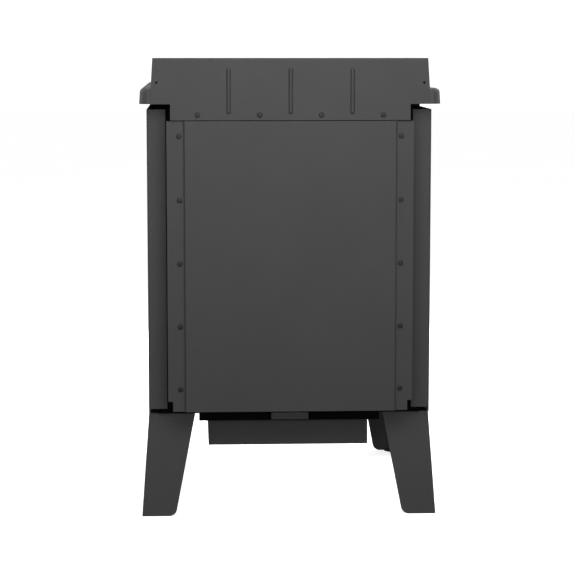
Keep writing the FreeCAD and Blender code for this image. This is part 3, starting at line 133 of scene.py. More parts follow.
# a lathe: a ring is drawn up step by step, steps are (height, radius) in mm along +Z
def turned(name, steps, sides=48):
    steps = [(height * mm, radius * mm) for height, radius in steps]
    height, radius = steps[0]
    bpy.ops.object.select_all(action="DESELECT")
    bpy.ops.mesh.primitive_circle_add(vertices=sides, radius=radius, fill_type="NGON",
                                      location=(0, 0, height))
    piece = bpy.context.object
    piece.name = name
    bpy.ops.object.transform_apply(location=True)
    bpy.ops.object.mode_set(mode="EDIT")
    bpy.ops.mesh.select_all(action="SELECT")
    for nextHeight, nextRadius in steps[1:]:
        rise = (0, 0, nextHeight - height)
        bpy.ops.mesh.extrude_region_move(TRANSFORM_OT_translate={"value": rise})
        grow = nextRadius / radius
        bpy.ops.transform.resize(value=(grow, grow, 1), center_override=(0, 0, nextHeight))
        height, radius = nextHeight, nextRadius
    bpy.ops.mesh.select_all(action="SELECT")
    bpy.ops.mesh.normals_make_consistent(inside=False)
    bpy.ops.object.mode_set(mode="OBJECT")
    smooth(piece, angle=40)
    return piece


# a CAD node's own shape, its loose triangles merged and its edges eased as on the real piece
ease = {"flat": 0.4, "sharp": 40, "smooth": 35, "rounds": 2, "weight": 90}    # angles in degrees


def softCopy(node, edge):
    words = node.split("_")
    name = words[0] + "".join(word.title() for word in words[1:] or ["piece"])
    piece = bpy.data.objects.new(name, cadNodes[node].data.copy())
    bpy.context.collection.objects.link(piece)
    take(piece)
    bpy.ops.mesh.customdata_custom_splitnormals_clear()
    bpy.ops.object.mode_set(mode="EDIT")
    bpy.ops.mesh.select_all(action="SELECT")
    bpy.ops.mesh.remove_doubles(threshold=hair)
    bpy.ops.mesh.dissolve_limited(angle_limit=math.radians(ease["flat"]))
    bpy.ops.object.mode_set(mode="OBJECT")
    applyModifier(piece, "BEVEL", width=edge * mm, segments=ease["rounds"], limit_method="ANGLE",
                  angle_limit=math.radians(ease["sharp"]), use_clamp_overlap=True)
    smooth(piece, ease["smooth"])
    applyModifier(piece, "WEIGHTED_NORMAL", mode="FACE_AREA", weight=ease["weight"], keep_sharp=True)
    return piece


# materials

def srgb(code):
    parts = [int(code[start:start + 2], 16) / 255 for start in (1, 3, 5)]
    return [part / 12.92 if part <= 0.04045 else ((part + 0.055) / 1.055) ** 2.4 for part in parts] + [1]


def addNode(tree, kind, wires=None, stops=None, **settings):
    node = tree.nodes.new("ShaderNode" + kind)
    for key, value in settings.items():
        setattr(node, key, value)
    for key, value in (wires or {}).items():
        if isinstance(value, bpy.types.NodeSocket):
            tree.links.new(value, node.inputs[key])
        else:
            node.inputs[key].default_value = value
    if stops:
        ramp = node.color_ramp.elements
        ramp[0].position, ramp[0].color = stops[0][0], srgb(stops[0][1])
        ramp[1].position, ramp[1].color = stops[-1][0], srgb(stops[-1][1])
        for position, colour in stops[1:-1]:
            ramp.new(position).color = srgb(colour)
    return node


def startMaterial(name, look):
    material = bpy.data.materials.new(name)
    material.use_nodes = True
    tree = material.node_tree
    shader = tree.nodes["Principled BSDF"]
    for socket, value in look.items():
        shader.inputs[socket].default_value = value
    place = addNode(tree, "TexCoord").outputs["Object"]
    return material, tree, shader, place


# Mapping scale that draws a pattern out along one axis
def drawnOut(axis, long, wide):
    return [1 / long if way == axis else 1 / wide for way in "xyz"]


# sprayed heat paint cured on steel: matte, a faint cloud from the spray passes, fine dry grit;
# real grit is under 0.5 mm and is drawn 2 to 3 mm wide so that it shows
def sprayedPaint(name, dark, light, look):
    material, tree, shader, place = startMaterial(name, {"Specular IOR Level": look["specular"]})
    cloud = addNode(tree, "TexNoise", {"Vector": place, "Scale": 1 / look["cloud"], "Detail": 3})
    tone = addNode(tree, "ValToRGB", {"Fac": cloud.outputs["Fac"]}, [(0.35, dark), (0.65, light)])
    tree.links.new(tone.outputs["Color"], shader.inputs["Base Color"])
    patch = addNode(tree, "TexNoise", {"Vector": place, "Scale": 1 / look["patch"], "Detail": 2})
    sheen = addNode(tree, "MapRange", {"Value": patch.outputs["Fac"], "From Min": 0.3, "From Max": 0.7,
                                       "To Min": look["rough"][0], "To Max": look["rough"][1]})
    tree.links.new(sheen.outputs["Result"], shader.inputs["Roughness"])
    grit = addNode(tree, "TexNoise", {"Vector": place, "Scale": 1 / look["grit"],
                                      "Detail": 4, "Roughness": 0.6})
    bump = addNode(tree, "Bump", {"Height": grit.outputs["Fac"], "Strength": look["bump"],
                                  "Distance": look["relief"]})
    tree.links.new(bump.outputs["Normal"], shader.inputs["Normal"])
    return material


charcoalLook = {"specular": 0.38, "cloud": 140 * mm, "patch": 45 * mm, "rough": (0.55, 0.58),
                "grit": 3.2 * mm, "relief": 0.2 * mm, "bump": 0.5}
charcoalStovePaint = sprayedPaint("charcoal_stove_paint", "#373737", "#393939", charcoalLook)

flatBlackLook = {"specular": 0.2, "cloud": 90 * mm, "patch": 30 * mm, "rough": (0.62, 0.74),
                 "grit": 2.6 * mm, "relief": 0.2 * mm, "bump": 0.5}
flatBlackHeatPaint = sprayedPaint("flat_black_heat_paint", "#111111", "#181818", flatBlackLook)

# black primer for the inner parts, coloured near black (#060606 to #0b0b0b); on the base plate and air
# chamber under the body this colour is painted shade of the recess
primerLook = {"specular": 0.06, "cloud": 90 * mm, "patch": 30 * mm, "rough": (0.8, 0.9),
              "grit": 1.8 * mm, "relief": 0.2 * mm, "bump": 0.1}
blackPrimerWithPaintedShade = sprayedPaint("black_primer_with_painted_shade", "#060606", "#0b0b0b", primerLook)


# iron from a sand mould: pebbled skin, dull sheen on the high spots; sand grains are under 1 mm,
# the pebbles are drawn 5 mm wide so that they show
mouldSkin = {"pebble": 5 * mm, "flow": 60 * mm, "relief": 1.2 * mm}


def castIron(name, dark, light, rough, strength):
    material, tree, shader, place = startMaterial(name, {"Specular IOR Level": 0.45})
    grain = addNode(tree, "TexNoise", {"Vector": place, "Scale": 1 / mouldSkin["pebble"],
                                       "Detail": 5, "Roughness": 0.62})
    flow = addNode(tree, "TexNoise", {"Vector": place, "Scale": 1 / mouldSkin["flow"], "Detail": 4})
    tone = addNode(tree, "ValToRGB", {"Fac": flow.outputs["Fac"]}, [(0.3, dark), (0.7, light)])
    tree.links.new(tone.outputs["Color"], shader.inputs["Base Color"])
    sheen = addNode(tree, "MapRange", {"Value": grain.outputs["Fac"], "From Min": 0.3, "From Max": 0.7,
                                       "To Min": rough[1], "To Max": rough[0]})
    tree.links.new(sheen.outputs["Result"], shader.inputs["Roughness"])
    bump = addNode(tree, "Bump", {"Height": grain.outputs["Fac"], "Strength": strength,
                                  "Distance": mouldSkin["relief"]})
    tree.links.new(bump.outputs["Normal"], shader.inputs["Normal"])
    return material


charcoalCastIron = castIron("charcoal_painted_iron", "#353535", "#3b3b3b", (0.5, 0.62), 0.5)
blackedCastIron = castIron("blacked_cast_iron", "#1c1c1d", "#272728", (0.46, 0.66), 0.6)
seasonedCastIron = castIron("seasoned_cast_iron", "#19191a", "#242322", (0.5, 0.64), 0.4)


# pressed refractory brick: buff, pitted, smoked grey in clouds where the flames lick it
brickSkin = {"blotch": 38 * mm, "smoke": 150 * mm, "pit": 5 * mm, "relief": 0.8 * mm}


def pressedFirebrick():
    material, tree, shader, place = startMaterial(
        "pressed_firebrick", {"Specular IOR Level": 0.15, "Roughness": 0.93})
    blotch = addNode(tree, "TexNoise", {"Vector": place, "Scale": 1 / brickSkin["blotch"], "Detail": 6})
    clay = addNode(tree, "ValToRGB", {"Fac": blotch.outputs["Fac"]},
                   [(0.3, "#b08a5e"), (0.5, "#c9a877"), (0.7, "#d8bd92")])
    smoke = addNode(tree, "TexNoise", {"Vector": place, "Scale": 1 / brickSkin["smoke"],
                                       "Detail": 5, "Distortion": 0.6})
    haze = addNode(tree, "MapRange", {"Value": smoke.outputs["Fac"], "From Min": 0.42, "From Max": 0.66,
                                      "To Min": 0.1, "To Max": 0.72})
    mixed = addNode(tree, "MixRGB", {"Fac": haze.outputs["Result"], "Color1": clay.outputs["Color"],
                                     "Color2": srgb("#3f3a34")})
    tree.links.new(mixed.outputs["Color"], shader.inputs["Base Color"])
    pits = addNode(tree, "TexVoronoi", {"Vector": place, "Scale": 1 / brickSkin["pit"], "Randomness": 1})
    hollows = addNode(tree, "MapRange", {"Value": pits.outputs["Distance"],
                                         "From Min": 0.05, "From Max": 0.35})
    bump = addNode(tree, "Bump", {"Height": hollows.outputs["Result"], "Strength": 0.5,
                                  "Distance": brickSkin["relief"]})
    tree.links.new(bump.outputs["Normal"], shader.inputs["Normal"])
    return material


firebrick = pressedFirebrick()


# bright steel wiped with fine paper: a soft streaked shine, streaks run along the piece
streak = {"long": 50 * mm, "wide": 1.11 * mm}


def brushedStainless(axis):
    material, tree, shader, place = startMaterial("brushed_stainless_" + axis, {"Metallic": 1})
    spread = addNode(tree, "Mapping", {"Vector": place, "Scale": drawnOut(axis, **streak)})
    lines = addNode(tree, "TexNoise", {"Vector": spread.outputs["Vector"], "Scale": 1, "Detail": 3})
    tone = addNode(tree, "ValToRGB", {"Fac": lines.outputs["Fac"]}, [(0.3, "#a9a8a5"), (0.7, "#c2c1be")])
    tree.links.new(tone.outputs["Color"], shader.inputs["Base Color"])
    sheen = addNode(tree, "MapRange", {"Value": lines.outputs["Fac"], "To Min": 0.2, "To Max": 0.42})
    tree.links.new(sheen.outputs["Result"], shader.inputs["Roughness"])
    return material


stainlessAlongX = brushedStainless("x")
stainlessAlongY = brushedStainless("y")
stainlessAlongZ = brushedStainless("z")


# black zinc plate: dark, half bright, a little cloudy
def blackZincPlate():
    material, tree, shader, place = startMaterial("black_zinc_plate", {"Metallic": 0.35})
    cloud = addNode(tree, "TexNoise", {"Vector": place, "Scale": 1 / (4 * mm), "Detail": 3})
    tone = addNode(tree, "ValToRGB", {"Fac": cloud.outputs["Fac"]}, [(0.3, "#171717"), (0.7, "#212121")])
    tree.links.new(tone.outputs["Color"], shader.inputs["Base Color"])
    sheen = addNode(tree, "MapRange", {"Value": cloud.outputs["Fac"], "To Min": 0.38, "To Max": 0.55})
    tree.links.new(sheen.outputs["Result"], shader.inputs["Roughness"])
    return material


zincScrews = blackZincPlate()


# fired enamel, dark with pale specks about 1 to 2 mm across, glassy
enamelSkin = {"speckSpacing": 8 * mm, "ripple": 14 * mm, "relief": 0.4 * mm}


def speckledEnamel():
    material, tree, shader, place = startMaterial(
        "speckled_enamel", {"Coat Weight": 0.6, "Coat Roughness": 0.08})
    specks = addNode(tree, "TexVoronoi", {"Vector": place, "Scale": 1 / enamelSkin["speckSpacing"],
                                          "Randomness": 1})
    dots = addNode(tree, "ValToRGB", {"Fac": specks.outputs["Distance"]},
                   [(0.08, "#b9bcc0"), (0.14, "#1c1f24"), (1.0, "#16181c")])
    tree.links.new(dots.outputs["Color"], shader.inputs["Base Color"])
    ripple = addNode(tree, "TexNoise", {"Vector": place, "Scale": 1 / enamelSkin["ripple"], "Detail": 2})
    sheen = addNode(tree, "MapRange", {"Value": ripple.outputs["Fac"], "To Min": 0.16, "To Max": 0.3})
    tree.links.new(sheen.outputs["Result"], shader.inputs["Roughness"])
    bump = addNode(tree, "Bump", {"Height": ripple.outputs["Fac"], "Strength": 0.08,
                                  "Distance": enamelSkin["relief"]})
    tree.links.new(bump.outputs["Normal"], shader.inputs["Normal"])
    return material


ovenEnamel = speckledEnamel()


# rolled glass ceramic: clear with a faint amber cast, a thin smoke film in patches
def glassCeramic():
    material, tree, shader, place = startMaterial("glass_ceramic", {"Transmission Weight": 1, "IOR": 1.54})
    film = addNode(tree, "TexNoise", {"Vector": place, "Scale": 1 / (70 * mm), "Detail": 4})
    tone = addNode(tree, "ValToRGB", {"Fac": film.outputs["Fac"]}, [(0.4, "#e6ddcc"), (0.75, "#b9ab95")])
    tree.links.new(tone.outputs["Color"], shader.inputs["Base Color"])
    haze = addNode(tree, "MapRange", {"Value": film.outputs["Fac"], "From Min": 0.4, "From Max": 0.75,
                                      "To Min": 0.02, "To Max": 0.16})
    tree.links.new(haze.outputs["Result"], shader.inputs["Roughness"])
    return material


fireGlass = glassCeramic()


# knitted glass yarn: off white, dull, ribbed; real ribs are about 1 mm apart and are drawn 2.7 mm apart
# so that they show
yarn = {"rib": 2.73 * mm, "soil": 25 * mm, "relief": 0.3 * mm}
ribScale = 2 * math.pi / 10 / math.sqrt(3) / yarn["rib"]    # a diagonal wave turns 10 radians per x + y + z


def knittedGlassYarn():
    material, tree, shader, place = startMaterial(
        "knitted_glass_yarn", {"Roughness": 0.9, "Sheen Weight": 0.25, "Specular IOR Level": 0.2})
    ribs = addNode(tree, "TexWave", {"Vector": place, "Scale": ribScale, "Distortion": 2, "Detail": 2},
                   bands_direction="DIAGONAL")
    soil = addNode(tree, "TexNoise", {"Vector": place, "Scale": 1 / yarn["soil"], "Detail": 4})
    tone = addNode(tree, "ValToRGB", {"Fac": soil.outputs["Fac"]}, [(0.3, "#8f8a80"), (0.7, "#c4bfb3")])
    tree.links.new(tone.outputs["Color"], shader.inputs["Base Color"])
    bump = addNode(tree, "Bump", {"Height": ribs.outputs["Fac"], "Strength": 0.5,
                                  "Distance": yarn["relief"]})
    tree.links.new(bump.outputs["Normal"], shader.inputs["Normal"])
    return material


glassFibre = knittedGlassYarn()


# oiled ash turned on a lathe: straight brown grain along the piece, satin
ashGrain = {"long": 71.4 * mm, "wide": 2.38 * mm}


def oiledAsh(axis):
    material, tree, shader, place = startMaterial(
        "oiled_ash_" + axis, {"Coat Weight": 0.15, "Coat Roughness": 0.35})
    spread = addNode(tree, "Mapping", {"Vector": place, "Scale": drawnOut(axis, **ashGrain)})
    fibre = addNode(tree, "TexNoise", {"Vector": spread.outputs["Vector"], "Scale": 1,
                                       "Detail": 5, "Distortion": 0.4})
    tone = addNode(tree, "ValToRGB", {"Fac": fibre.outputs["Fac"]},
                   [(0.28, "#6b4022"), (0.46, "#94602f"), (0.58, "#ab7740"), (0.74, "#7d4f29")])
    tree.links.new(tone.outputs["Color"], shader.inputs["Base Color"])
    sheen = addNode(tree, "MapRange", {"Value": fibre.outputs["Fac"], "To Min": 0.36, "To Max": 0.52})
    tree.links.new(sheen.outputs["Result"], shader.inputs["Roughness"])
    bump = addNode(tree, "Bump", {"Height": fibre.outputs["Fac"], "Strength": 0.12, "Distance": 0.2 * mm})
    tree.links.new(bump.outputs["Normal"], shader.inputs["Normal"])
    return material


ashAlongX = oiledAsh("x")
ashAlongY = oiledAsh("y")
ashAlongZ = oiledAsh("z")


# printed tin dial parts: smooth lacquer with the least unevenness
def dialLacquer(name, dark, light, rough):
    material, tree, shader, place = startMaterial(name, {"Roughness": rough})
    cloud = addNode(tree, "TexNoise", {"Vector": place, "Scale": 1 / (12 * mm), "Detail": 3})
    tone = addNode(tree, "ValToRGB", {"Fac": cloud.outputs["Fac"]}, [(0.3, dark), (0.7, light)])
    tree.links.new(tone.outputs["Color"], shader.inputs["Base Color"])
    return material


dialWhite = dialLacquer("dial_white_lacquer", "#dcd8cb", "#e8e4d8", 0.35)
dialInk = dialLacquer("dial_black_ink", "#161616", "#1f1f1f", 0.5)
dialRed = dialLacquer("dial_red_lacquer", "#8f1d16", "#a3261c", 0.4)
print("materials ready")


# camera behind the stove where the photograph was taken, no shift
camera = {"place": (0.20024, 4.46530, 0.98693), "yaw": 0.0474, "pitch": -0.1206, "lens": 124.2}
bpy.ops.object.camera_add(location=camera["place"],
                          rotation=(math.pi / 2 + camera["pitch"], 0, math.pi - camera["yaw"]))
bpy.context.object.data.lens = camera["lens"]
bpy.context.scene.camera = bpy.context.object

# white studio: pale floor and white dome that only the camera sees, so their white doesn't flood the
# dark paint, a dim sky that fades to the ground, and soft boxes given by place, size and power
studio = {"floor": 60, "floorGlow": 0.75, "dome": 27.3, "domeGlow": 1, "cloud": 0.667, "aim": 0.6,
          "sky": 0.32, "horizon": 0.15, "ground": 0.03,
          "boxes": {"rear high": ((-0.05, 1.75, 1.5), (1.5, 0.9), 18.5),
                    "rear wide": ((-0.05, 3.6, 0.8), (4.2, 0.8), 38),
                    "front high": ((-1.1, -1.9, 2.1), (1.5, 0.9), 46),
                    "front low": ((0.3, -2.5, 0.5), (1.4, 0.6), 20),
                    "right": ((2.1, -0.3, 1.6), (1.2, 1.2), 24),
                    "left": ((-2.1, -0.3, 1.6), (1.2, 1.2), 24),
                    "top": ((0, 0, 2.8), (1.6, 1.6), 30)}}


def paleStage(piece, name, glow):
    piece.name = name
    material, tree, shader, place = startMaterial(
        name, {"Roughness": 0.9, "Specular IOR Level": 0,
               "Emission Color": (1, 1, 1, 1), "Emission Strength": glow})
    cloud = addNode(tree, "TexNoise", {"Vector": place, "Scale": 1 / studio["cloud"], "Detail": 3})
    tone = addNode(tree, "ValToRGB", {"Fac": cloud.outputs["Fac"]}, [(0.3, "#f4f4f4"), (0.7, "#f8f8f8")])
    tree.links.new(tone.outputs["Color"], shader.inputs["Base Color"])
    piece.data.materials.append(material)
    piece.visible_diffuse = piece.visible_glossy = False


bpy.ops.object.select_all(action="DESELECT")
bpy.ops.mesh.primitive_plane_add(size=studio["floor"])
paleStage(bpy.context.object, "studio_floor", studio["floorGlow"])
bpy.ops.mesh.primitive_uv_sphere_add(radius=studio["dome"], segments=64, ring_count=32)
dome = bpy.context.object
paleStage(dome, "studio_dome", studio["domeGlow"])
dome.visible_shadow = dome.visible_transmission = False

world = bpy.data.worlds.new("dim_sky")
world.use_nodes = True
sky = world.node_tree
skyPlace = addNode(sky, "TexCoord")
skyParts = addNode(sky, "SeparateXYZ", {"Vector": skyPlace.outputs["Generated"]})
skyHeight = addNode(sky, "MapRange", {"Value": skyParts.outputs["Z"], "From Min": -1})
skyLight = addNode(sky, "ValToRGB", {"Fac": skyHeight.outputs["Result"]})
skyLight.color_ramp.elements[0].color = [studio["ground"]] * 3 + [1]
skyLight.color_ramp.elements[1].color = [studio["sky"]] * 3 + [1]
skyLight.color_ramp.elements.new(0.5).color = [studio["horizon"]] * 3 + [1]
sky.links.new(skyLight.outputs["Color"], sky.nodes["Background"].inputs["Color"])
bpy.context.scene.world = world
for name, (place, size, power) in studio["boxes"].items():
    bpy.ops.object.light_add(type="AREA", location=place)
    lamp = bpy.context.object
    lamp.name = "soft box " + name
    lamp.data.shape = "RECTANGLE"
    lamp.data.size, lamp.data.size_y = size
    lamp.data.energy = power
    lamp.visible_camera = False
    aim = lamp.location * -1
    aim.z += studio["aim"]
    lamp.rotation_euler = aim.to_track_quat("-Z", "Y").to_euler()
bpy.context.scene.view_settings.view_transform = "Standard"
print("studio ready")


# sheet metal, castings and bricks keep the CAD shape with eased edges, widths in mm
easedEdges = {
    "leg_front_left": (charcoalStovePaint, 0.7), "leg_front_right": (charcoalStovePaint, 0.7),
    "leg_rear_left": (charcoalStovePaint, 0.7), "leg_rear_right": (charcoalStovePaint, 0.7),
    "side_panel_left": (charcoalStovePaint, 0.5), "side_panel_right": (charcoalStovePaint, 0.5),
    "rear_heat_shield": (charcoalStovePaint, 0.35), "backguard": (charcoalStovePaint, 0.35),
    "ash_housing": (charcoalStovePaint, 0.6), "ash_drawer": (charcoalStovePaint, 0.8),
    "air_inlet_cover": (charcoalStovePaint, 0.8),
    # base plate and air chamber take the near black primer as painted shade under the body
    "base_plate": (blackPrimerWithPaintedShade, 0.8), "air_chamber": (blackPrimerWithPaintedShade, 0.8),
    "guard_bracket": (blackPrimerWithPaintedShade, 0.5), "shield_rails": (blackPrimerWithPaintedShade, 0.4),
    "air_slider": (flatBlackHeatPaint, 0.5), "air_guides": (flatBlackHeatPaint, 0.6),
    "hinge_brackets": (flatBlackHeatPaint, 0.8), "latch_keepers": (flatBlackHeatPaint, 1.2),
    "firebox_latch": (flatBlackHeatPaint, 1.2), "oven_latch": (flatBlackHeatPaint, 1.2),
    "bypass_damper": (flatBlackHeatPaint, 0.8),
    "front_plate": (charcoalCastIron, 1.2), "firebox_door": (blackedCastIron, 0.9),
    "oven_door": (blackedCastIron, 0.9), "grate": (blackedCastIron, 1.5),
    "cooktop": (charcoalCastIron, 0.8), "flue_collar": (blackedCastIron, 1.2),
    "hob_ring": (seasonedCastIron, 0.7), "hob_lid_small": (seasonedCastIron, 0.7),
    "hob_lid_large": (seasonedCastIron, 0.7),
    "floor_bricks": (firebrick, 2), "wall_bricks": (firebrick, 2), "baffle": (firebrick, 1.5),
    "glass_clips": (stainlessAlongX, 0.7), "hinge_pins": (stainlessAlongZ, 1),
    "bypass_rod": (stainlessAlongY, 0.8), "oven_liner": (ovenEnamel, 0.6),
    "firebox_glass": (fireGlass, 0.6),
}
for node, (material, edge) in easedEdges.items():
    dress(softCopy(node, edge), bodyOf[node], material, slotOf[node], node)
print("eased pieces:", len(easedEdges))

# the oven is enamelled inside only, its outer faces stand in the smoke and are black
ovenSkin = {"near": 1 * mm, "facing": 0.3}


def blackenOven():
    liner = bpy.data.objects["ovenLiner"]
    low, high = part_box("oven_liner")
    walls = [(0, low.x, -1), (0, high.x, 1), (1, high.y, 1), (2, low.z, -1), (2, high.z, 1)]
    liner.data.materials.append(blackPrimerWithPaintedShade)
    for face in liner.data.polygons:
        outside = any(abs(face.center[axis] - wall) < ovenSkin["near"]
                      and face.normal[axis] * way > ovenSkin["facing"] for axis, wall, way in walls)
        face.material_index = 1 if outside else 0


blackenOven()
print("oven blackened")

# inner pieces that keep their CAD node as it is
plainNodes = {
    "shell_left_wall": blackPrimerWithPaintedShade, "shell_right_wall": blackPrimerWithPaintedShade,
    "shell_rear_wall": blackPrimerWithPaintedShade, "shell_front_wall": blackPrimerWithPaintedShade,
    "panel_spacers": blackPrimerWithPaintedShade, "cooktop_gasket": glassFibre, "glass_gasket": glassFibre,
    "secondary_air_tubes": stainlessAlongX, "oven_rack": stainlessAlongY,
}
for node, material in plainNodes.items():
    cadNodes[node].data.materials.clear()
    cadNodes[node].data.materials.append(material)
print("plain nodes:", len(plainNodes))


# pan head screw with a cross recess, modelled once and set in each hole
screw = {"radius": 5.4 * mm, "height": 3 * mm, "sunk": 0.2 * mm, "sides": 32,
         "dome": 1.7 * mm, "rounds": 4, "bulge": 0.6,
         "cross": (5.4 * mm, 1.2 * mm, 1.7 * mm), "taper": 0.55, "spin": 0.9}


def makeScrew():
    tall = screw["height"] + screw["sunk"]
    bpy.ops.object.select_all(action="DESELECT")
    bpy.ops.mesh.primitive_cylinder_add(vertices=screw["sides"], radius=screw["radius"], depth=tall,
                                        location=(0, 0, tall / 2 - screw["sunk"]))
    head = bpy.context.object
    bpy.ops.object.transform_apply(location=True)
    top = screw["height"] - hair
    pick(head, "EDGE", lambda edge: min(heightsOf(head, edge)) > top)
    bpy.ops.mesh.bevel(offset=screw["dome"], segments=screw["rounds"], profile=screw["bulge"])
    bpy.ops.object.mode_set(mode="OBJECT")
    length, width, depth = screw["cross"]
    cutters = []
    for turn in (0, math.pi / 2):
        bpy.ops.mesh.primitive_cube_add(size=1, location=(0, 0, screw["height"]), rotation=(0, 0, turn))
        cutter = bpy.context.object
        cutter.scale = (length, width, 2 * depth)
        bpy.ops.object.transform_apply(location=True, rotation=True, scale=True)
        pick(cutter, "FACE", lambda face: face.normal.z < -facing)
        bpy.ops.transform.resize(value=(screw["taper"], screw["taper"], 1), center_override=(0, 0, 0))
        bpy.ops.object.mode_set(mode="OBJECT")
        cutters.append(cutter)
    for cutter in cutters:
        applyModifier(head, "BOOLEAN", operation="DIFFERENCE", solver="EXACT", object=cutter)
        bpy.data.objects.remove(cutter)
    head.rotation_euler = (-math.pi / 2, 0, 0)
    take(head)
    bpy.ops.object.transform_apply(rotation=True)
    smooth(head, angle=40)
    return head


# where the screws go: columns and lines between the edges of a CAD node's box, drawn in by the inset,
# with their seat so deep under the box's outer side; collar and guide screws are trim that no solid has
screwRows = {
    "shieldScrews": {"box": "shield_screws", "standFor": ["shield_screws"], "faces": "back", "scale": 1,
                     "counts": (2, 5), "inset": (5.5 * mm, 5.5 * mm), "deep": 3 * mm},
    "guardScrews": {"box": "guard_screws", "standFor": ["guard_screws"], "faces": "back", "scale": 1,
                    "counts": (4, 1), "inset": (5.5 * mm, 5.5 * mm), "deep": 3 * mm},
    "collarScrews": {"box": "flue_collar", "standFor": [], "faces": "up", "scale": 0.95,
                     "counts": (2, 2), "inset": (34 * mm, 34 * mm), "deep": 49 * mm},
    "guideScrews": {"box": "air_guides", "standFor": [], "faces": "front", "scale": 0.36,
                    "counts": (3, 2), "inset": (10 * mm, 2.1 * mm), "deep": 0},
}


def evenly(low, high, count):
    if count == 1:
        return [(low + high) / 2]
    return [low + (high - low) * step / (count - 1) for step in range(count)]


def screwSpots(row):
    low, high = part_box(row["box"])
    columnInset, lineInset = row["inset"]
    columnCount, lineCount = row["counts"]
    columns = evenly(low.x + columnInset, high.x - columnInset, columnCount)
    if row["faces"] == "up":
        lines = evenly(low.y + lineInset, high.y - lineInset, lineCount)
        return [(x, y, high.z - row["deep"]) for x in columns for y in lines]
    lines = evenly(low.z + lineInset, high.z - lineInset, lineCount)
    seat = high.y - row["deep"] if row["faces"] == "back" else low.y + row["deep"]
    return [(x, seat, z) for x in columns for z in lines]


screwHead = makeScrew()
for name, row in screwRows.items():
    heads = []
    for number, spot in enumerate(screwSpots(row)):
        spin = screw["spin"] * number
        turns = {"back": (0, spin, 0), "up": (math.pi / 2, 0, spin), "front": (0, spin, math.pi)}
        head = copyTo(screwHead, spot, turns[row["faces"]])
        head.scale = [row["scale"]] * 3
        heads.append(head)
    dress(joinAll(heads, name), "stove_body", zincScrews, "zinc_screws", *row["standFor"])
bpy.data.objects.remove(screwHead)
print("screws set")

# closed threaded inserts behind the two free holes of the backguard
insert = {"steps": [(-1.5, 2.3), (11, 2.3), (11.4, 2), (11.5, 0.4)], "sides": 32, "wall": 1.3 * mm,
          "behind": 1.9 * mm}
holesX, holesY, holesZ = mounts["guard_holes"]["pos_m"]
holesApart = mounts["guard_holes"]["dims"]["spacing_x_mm"] * mm
insertBlank = turned("insertBlank", insert["steps"], insert["sides"])
pick(insertBlank, "FACE", lambda face: face.normal.z < -facing)
bpy.ops.mesh.delete(type="FACE")
bpy.ops.object.mode_set(mode="OBJECT")
applyModifier(insertBlank, "SOLIDIFY", thickness=insert["wall"], offset=1)
inserts = []
for side in (-1, 1):
    spot = (holesX + side * holesApart / 2, holesY - insert["behind"], holesZ)
    inserts.append(copyTo(insertBlank, spot, towardsFront))
dress(joinAll(inserts, "guardInserts"), "stove_body", flatBlackHeatPaint, "black_steel")
bpy.data.objects.remove(insertBlank)
print("guard inserts set")


# hexagon bolts that hold the legs, heads under the leg caps
bolt = {"across": 13.6 * mm, "head": 5 * mm, "shank": 4 * mm, "chamfer": 0.8 * mm, "inset": 7 * mm,
        "spin": 0.4}
boltsLow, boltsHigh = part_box("leg_bolts")


def makeBolt():
    underside = boltsLow.z + bolt["head"]
    bpy.ops.object.select_all(action="DESELECT")
    bpy.ops.mesh.primitive_cylinder_add(vertices=6, radius=bolt["across"] / 2, depth=bolt["head"],
                                        location=(0, 0, boltsLow.z + bolt["head"] / 2))
    head = bpy.context.object
    bpy.ops.object.transform_apply(location=True)
    pick(head, "EDGE", lambda edge: max(heightsOf(head, edge)) < boltsLow.z + hair)
    bpy.ops.mesh.bevel(offset=bolt["chamfer"], segments=2)
    pick(head, "FACE", lambda face: face.normal.z > facing and face.center.z > underside - hair)
    bpy.ops.mesh.inset(thickness=bolt["across"] / 2 * math.cos(math.pi / 6) - bolt["shank"])
    rise = (0, 0, boltsHigh.z - underside)
    bpy.ops.mesh.extrude_region_move(TRANSFORM_OT_translate={"value": rise})
    bpy.ops.object.mode_set(mode="OBJECT")
    smooth(head, angle=30)
    return head


boltHead = makeBolt()
boltSpots = [(x, y, 0) for x in (boltsLow.x + bolt["inset"], boltsHigh.x - bolt["inset"])
             for y in (boltsLow.y + bolt["inset"], boltsHigh.y - bolt["inset"])]
bolts = []
for number, spot in enumerate(boltSpots):
    bolts.append(copyTo(boltHead, spot, (0, 0, bolt["spin"] * number)))
dress(joinAll(bolts, "legBolts"), "stove_body", zincScrews, "zinc_screws", "leg_bolts")
bpy.data.objects.remove(boltHead)
print("bolts set")


# turned door grips, with a steel ferrule where the latch arm enters
grip = {"doors": ("firebox", "oven"),
        "steps": [(0, 2.5), (0.6, 5), (2, 6.9), (4.5, 8.2), (7.5, 8.5), (9.4, 7.7), (10.4, 6.9),
                  (11.6, 7.7), (16, 9.2), (24, 10.4), (34, 10.9), (44, 10.9), (56, 10.4), (68, 9.5),
                  (80, 8.4), (88, 7.7), (90.4, 6.9), (91.4, 7.4), (94, 7.6)],
        "ferrule": [(93.6, 7.4), (93.8, 7.9), (94.6, 8), (97.6, 8), (98.3, 7.7), (99.3, 7.6), (100, 7)]}
gripBlank = turned("gripBlank", grip["steps"])
ferruleBlank = turned("ferruleBlank", grip["ferrule"])
for door in grip["doors"]:
    low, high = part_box(door + "_grip")
    foot = ((low.x + high.x) / 2, (low.y + high.y) / 2, low.z)
    wood = copyTo(gripBlank, foot)
    wood.name = door + "Grip"
    dress(wood, door + "_latch", ashAlongZ, "turned_wood", door + "_grip")
    ring = copyTo(ferruleBlank, foot)
    ring.name = door + "GripFerrule"
    dress(ring, door + "_latch", stainlessAlongZ, "stainless")
bpy.data.objects.remove(gripBlank)
bpy.data.objects.remove(ferruleBlank)
print("door grips set")


